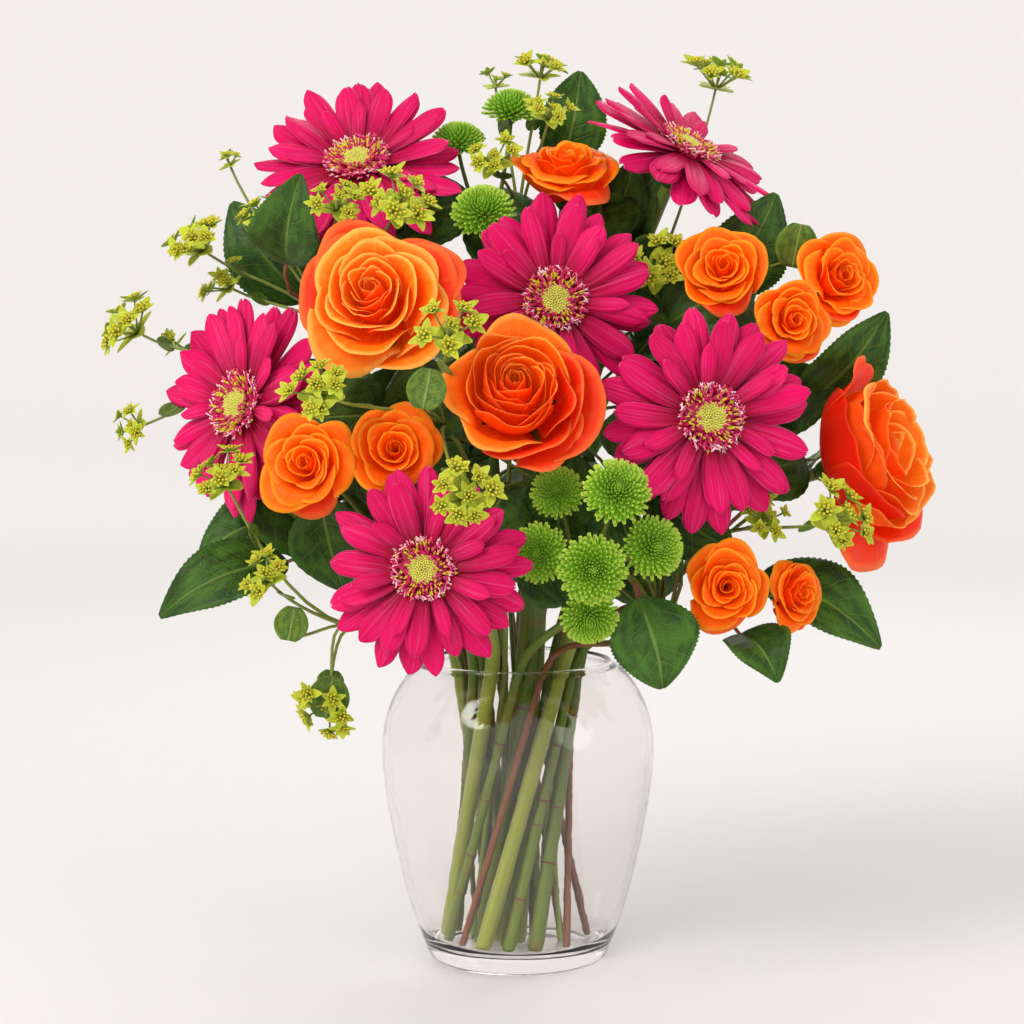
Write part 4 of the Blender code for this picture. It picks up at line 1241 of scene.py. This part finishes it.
def makeHare(number, plan):
    rng = random.Random(500 + number)
    fork = Vector(plan["fork"])
    tips = [Vector(tip[:3]) for tip in plan["tips"]]
    line = mainStem(plan["neck"], fork, sum(tips, Vector()) / len(tips) - fork)
    bag = newBag()
    addStem(bag, line, hare["stem"], 0.8, rng, 2, 10)
    for count, (*end, size) in enumerate(plan["tips"]):
        end = Vector(end)
        look = (end - fork).normalized() + Vector((0, -0.5, 0.6))
        side = twigLine(line, count, end, look)
        addTwig(bag, side, hare["twig"], (1.2, 0.8), 8, rng)
        place = facing(end, look)
        root = end - look.normalized() * size * 0.6
        rays = 8 if size > 0.0115 else 6 if size > 0.0085 else 3
        for ray in range(rays):
            turn = 2 * math.pi * (ray + rng.uniform(-0.3, 0.3)) / (rays - 1)
            apart = (rng.uniform(0.75, 1.1) if ray else 0.12) * size
            spot = place @ polar(turn, apart, rng.uniform(-0.1, 0.3) * size)
            addTube(bag, [root, spot], 0.0005, 6, 0.5, 0, 10)
            addUmbel(bag, spot, wayOf(place, polar(turn, 0.5, 1.0)), size * rng.uniform(0.55, 0.76), rng)
        for leaf in range(4):
            turn = 2 * math.pi * (leaf + rng.uniform(-0.2, 0.2)) / 4
            way = wayOf(place, polar(turn, 1.0, 0.1))
            addPointedLeaf(bag, root, way, look, size * 1.05, size * 0.34, 0.4, rng.random())
        middle = len(side) * 5 // 9
        way = side[middle + 1] - side[middle] + Vector((0, -0.006, 0))
        face = Vector((rng.uniform(-0.5, 0.5), -0.7, 0.7))
        addRoundLeaf(bag, side[middle], way, face, rng.uniform(0.005, 0.0075), rng.random())
    for x, y, z, size in plan.get("rounds", []):
        at = Vector((x, y, z))
        side = smoothRun(line[-1], line[-1] - line[-2], at, at - fork + Vector((0, 0, 0.02)), 8)
        addTube(bag, side, hare["twig"], 8, 0.5, 0, 10)
        addRoundLeaf(bag, at, Vector((0.2, -0.1, 1)), Vector((0.1, -0.9, 0.35)), size, rng.random())
    finishes = ("hareStem", "bract", "yellowFloret", "roundLeaf")
    makePiece(bag, f"haresEar{number}", finishes, "hares_ear", f"hares_ear_{number}")


for number, plan in enumerate(hare["sprigs"], 1):
    makeHare(number, plan)
print("hare's-ear:", len(hare["sprigs"]), "sprigs")

# ---------- leafy branches ----------

leafy = {
    # each leaf: base, tip, the way its upper side looks, and its width
    "branches": [
        {
            "neck": (0.030, 150),
            "fork": (-0.070, 0.008, 0.230),
            "gaps": [(-0.088, -0.050, 0.285), (-0.118, 0.000, 0.286)]
            + [(-0.091, -0.046, 0.217), (-0.111, -0.036, 0.226)],
            "leaves": [
                ((-0.112, -0.044, 0.206), (-0.172, -0.066, 0.184), (-0.1, -0.8, 0.5), 0.034),
                ((-0.112, -0.012, 0.224), (-0.158, -0.024, 0.204), (-0.3, -0.7, 0.6), 0.034),
                ((-0.108, 0.040, 0.330), (-0.146, 0.042, 0.380), (-0.4, -0.9, 0.2), 0.038),
                ((-0.110, 0.040, 0.270), (-0.166, 0.060, 0.292), (-0.4, 0.5, 0.8), 0.038),
            ],
        },
        {
            "neck": (0.019, 90),
            "fork": (-0.016, 0.036, 0.300),
            "gaps": [(0.060, -0.006, 0.374), (-0.044, -0.008, 0.372)]
            + [(-0.108, -0.016, 0.370), (-0.045, -0.054, 0.283)],
            "leaves": [
                ((-0.112, -0.040, 0.350), (-0.104, -0.062, 0.392), (-0.1, -1.0, 0.2), 0.034),
                ((0.022, 0.054, 0.398), (0.032, 0.056, 0.447), (0.2, -0.9, 0.3), 0.034),
                ((0.044, 0.026, 0.360), (0.058, 0.018, 0.400), (0.2, -0.9, 0.2), 0.030),
                ((-0.050, 0.058, 0.360), (-0.084, 0.076, 0.404), (-0.3, 0.7, 0.5), 0.038),
            ],
        },
        {
            "neck": (0.030, 25),
            "fork": (0.084, 0.018, 0.194),
            "gaps": [(0.123, -0.028, 0.249), (0.138, -0.008, 0.283)]
            + [(0.099, -0.026, 0.298), (0.065, -0.018, 0.332)],
            "leaves": [
                ((0.100, 0.014, 0.334), (0.128, 0.002, 0.384), (0.3, -0.9, 0.3), 0.040),
                ((0.142, 0.006, 0.280), (0.182, -0.010, 0.326), (0.5, -0.9, 0.2), 0.036),
                ((0.120, -0.014, 0.196), (0.178, -0.034, 0.163), (0.3, -0.9, 0.4), 0.036),
                ((0.140, 0.044, 0.236), (0.192, 0.066, 0.252), (0.4, 0.4, 0.8), 0.038),
            ],
        },
        {
            "neck": (0.030, 294),
            "fork": (0.058, -0.070, 0.172),
            "gaps": [(0.083, -0.052, 0.227), (0.058, -0.060, 0.209)]
            + [(0.020, -0.060, 0.237), (-0.042, -0.058, 0.237)],
            "leaves": [
                ((0.056, -0.096, 0.195), (0.068, -0.098, 0.152), (0.2, -1.0, 0.2), 0.042),
                ((0.106, -0.070, 0.174), (0.122, -0.098, 0.156), (0.2, -0.9, 0.5), 0.032),
            ],
        },
        {
            "neck": (0.030, 85),
            "fork": (0.010, 0.062, 0.232),
            "leaves": [
                ((-0.050, 0.094, 0.250), (-0.096, 0.120, 0.236), (-0.3, 0.8, 0.6), 0.040),
                ((0.010, 0.112, 0.236), (0.012, 0.150, 0.206), (0.0, 0.7, 0.7), 0.042),
                ((0.066, 0.092, 0.262), (0.112, 0.114, 0.270), (0.3, 0.8, 0.6), 0.040),
                ((0.028, 0.096, 0.316), (0.050, 0.116, 0.362), (0.2, 0.9, 0.4), 0.038),
                ((-0.024, 0.092, 0.300), (-0.052, 0.118, 0.340), (-0.2, 0.9, 0.4), 0.038),
            ],
        },
    ],
    "stem": 0.0019,
    "twig": 0.0012,
    "thick": 0.0006,
    "fillers": (18, 18, 18, 16, 13),  # smaller shaded leaves deeper in the bunch
    "heart": Vector((0.0, -0.015, 0.285)),
}


def addLeaf(bag, base, tip, look, width, rng, deepShade=0.0):
    # an oval leaf folded along its midrib, with quilting between its side veins and a wavy edge
    length = (tip - base).length
    x = (tip - base).normalized()
    y = Vector(look).cross(x).normalized()
    axes = np.array([tuple(x), tuple(y), tuple(x.cross(y))])
    root = np.array(tuple(base))
    rows, cols = (23 if deepShade else 51), 13
    u, v = spread(rows, cols)
    half = 0.5 * width * np.sin(np.pi * v**0.82 * 0.985 + 0.02) ** 0.8 + 0.0005
    teeth = 1 + (0.012 if deepShade else 0.022) * (-1) ** np.arange(rows)[:, None]
    half = half * np.where(np.abs(u) > 0.99, teeth, 1.0)
    sag = 0.16 * length * np.sin(np.pi * v)
    fold = rng.uniform(0.18, 0.34) * np.abs(u) * half
    swing = np.sin(9 * v + rng.uniform(0, 6) + np.sign(u) * 1.3)
    wave = 0.05 * width * np.abs(u) ** 2 * swing * np.sin(np.pi * v)
    quilt = 0.012 * width * np.cos(2 * np.pi * 7 * (v - 0.22 * np.abs(u))) * np.sin(np.pi * np.abs(u))
    curl = -rng.uniform(0.0, 0.10) * length * np.maximum(v - 0.7, 0) ** 2 * 8
    up = sag + fold + wave + quilt * np.sin(np.pi * v) + curl
    local = np.stack([length * v + 0 * u, -half * u, up], 2)
    # painted shade: leaves deeper in the bunch get a darker tone
    addSheet(bag, local @ axes + root, leafy["thick"], rng.random() * (1 - deepShade), 1)
    rib = [local[row, cols // 2] @ axes + root - 0.0004 * axes[2] for row in range(rows - 2)]
    addTube(bag, rib, np.linspace(0.0009, 0.0003, len(rib)), 6, 0.7, 1)


# each bloom's own frame, its radius, and how deep it is for its radius
small = [bloom for plan in spray["stems"] + mum["stems"] for bloom in plan["blooms"]]
heads = [(bloom, 0.34) for bloom in gerbera["blooms"]] + [(bloom, 0.60) for bloom in rose["blooms"] + small]
heads = [(placeOf(bloom).inverted(), bloom["radius"], deep) for bloom, deep in heads]


def crosses(base, tip, look, width):
    # whether a leaf lying there would cut through a bloom
    sideways = Vector(look).cross(tip - base).normalized() * width * 0.5
    for share in (0.0, 0.2, 0.4, 0.6, 0.8, 1.0):
        for out in (-1, 0, 1):
            point = base.lerp(tip, share) + sideways * out * math.sin(math.pi * share)
            for place, radius, deep in heads:
                local = place @ point
                if abs(local.z + 0.1 * radius) < deep * radius and local.xy.length < 0.97 * radius:
                    return True
    return False


def addStalk(bag, line, base, run, rng):
    # a thin stalk from the end of the branch to a leaf deep in the bunch
    side = smoothRun(line[-1], line[-1] - line[-2], base, run, 8)
    addTwig(bag, side, leafy["twig"], (0.9, 0.6), 7, rng, 2)


def makeLeafy(number, plan):
    rng = random.Random(700 + number)
    fork = Vector(plan["fork"])
    bases = [Vector(leaf[0]) for leaf in plan["leaves"]]
    line = mainStem(plan["neck"], fork, sum(bases, Vector()) / len(bases) - fork)
    bag = newBag()
    addStem(bag, line, leafy["stem"], 0.8, rng, 4, 12)
    for count, (base, tip, look, width) in enumerate(plan["leaves"]):
        base, tip = Vector(base), Vector(tip)
        way = (tip - base).normalized()
        side = twigLine(line, count, base - way * 0.005, way) + [base + way * 0.0025]
        addTwig(bag, side, leafy["twig"], (1.1, 0.75), 8, rng)
        addLeaf(bag, base, tip, look, width, rng)
    outward = (fork - leafy["heart"]).normalized()
    filled = 0
    for attempt in range(300):
        if filled == leafy["fillers"][number - 1]:
            break
        way = Vector((rng.uniform(-1, 1), rng.uniform(-1, 1), rng.uniform(-0.75, 1)))
        way = (way.normalized() + outward * 0.8).normalized()
        reach = rng.uniform(0.55, 0.80)
        base = leafy["heart"] + Vector((way.x * 0.120, way.y * 0.080, way.z * 0.105)) * reach
        lean = Vector((rng.uniform(-1, 1), rng.uniform(-1, 1), rng.uniform(-1, 1)))
        run = (way + lean * 0.9).normalized()
        long = rng.uniform(0.040, 0.056)
        look = way + lean * 0.3 + Vector((0, -0.3, 0.2))
        width = rng.uniform(0.032, 0.044)
        if not crosses(base, base + run * long, look, width):
            filled += 1
            addStalk(bag, line, base, run, rng)
            addLeaf(bag, base, base + run * long, look, width, rng, 0.7)
    for spot in plan.get("gaps", []):
        turn = rng.uniform(0, 2 * math.pi)
        run = Vector((math.cos(turn), rng.uniform(-0.5, 0.1), math.sin(turn))).normalized()
        long = rng.uniform(0.044, 0.056)
        base = Vector(spot) - run * long * 0.45
        while crosses(base, base + run * long, (0, -1, 0.3), 0.038) and base.y < 0.06:
            base.y += 0.004
        addStalk(bag, line, base, run, rng)
        look = Vector((rng.uniform(-0.4, 0.4), -1, rng.uniform(0.0, 0.6)))
        addLeaf(bag, base, base + run * long, look, rng.uniform(0.034, 0.042), rng, 0.6)
    finishes = ("brownStem", "leaf", "greenStem")
    makePiece(bag, f"leafyBranch{number}", finishes, "leaf", f"leafy_branch_{number}")


for number, plan in enumerate(leafy["branches"], 1):
    makeLeafy(number, plan)
print("leafy branches:", len(leafy["branches"]))

print("faces:", sum(len(mesh.polygons) for mesh in bpy.data.meshes))
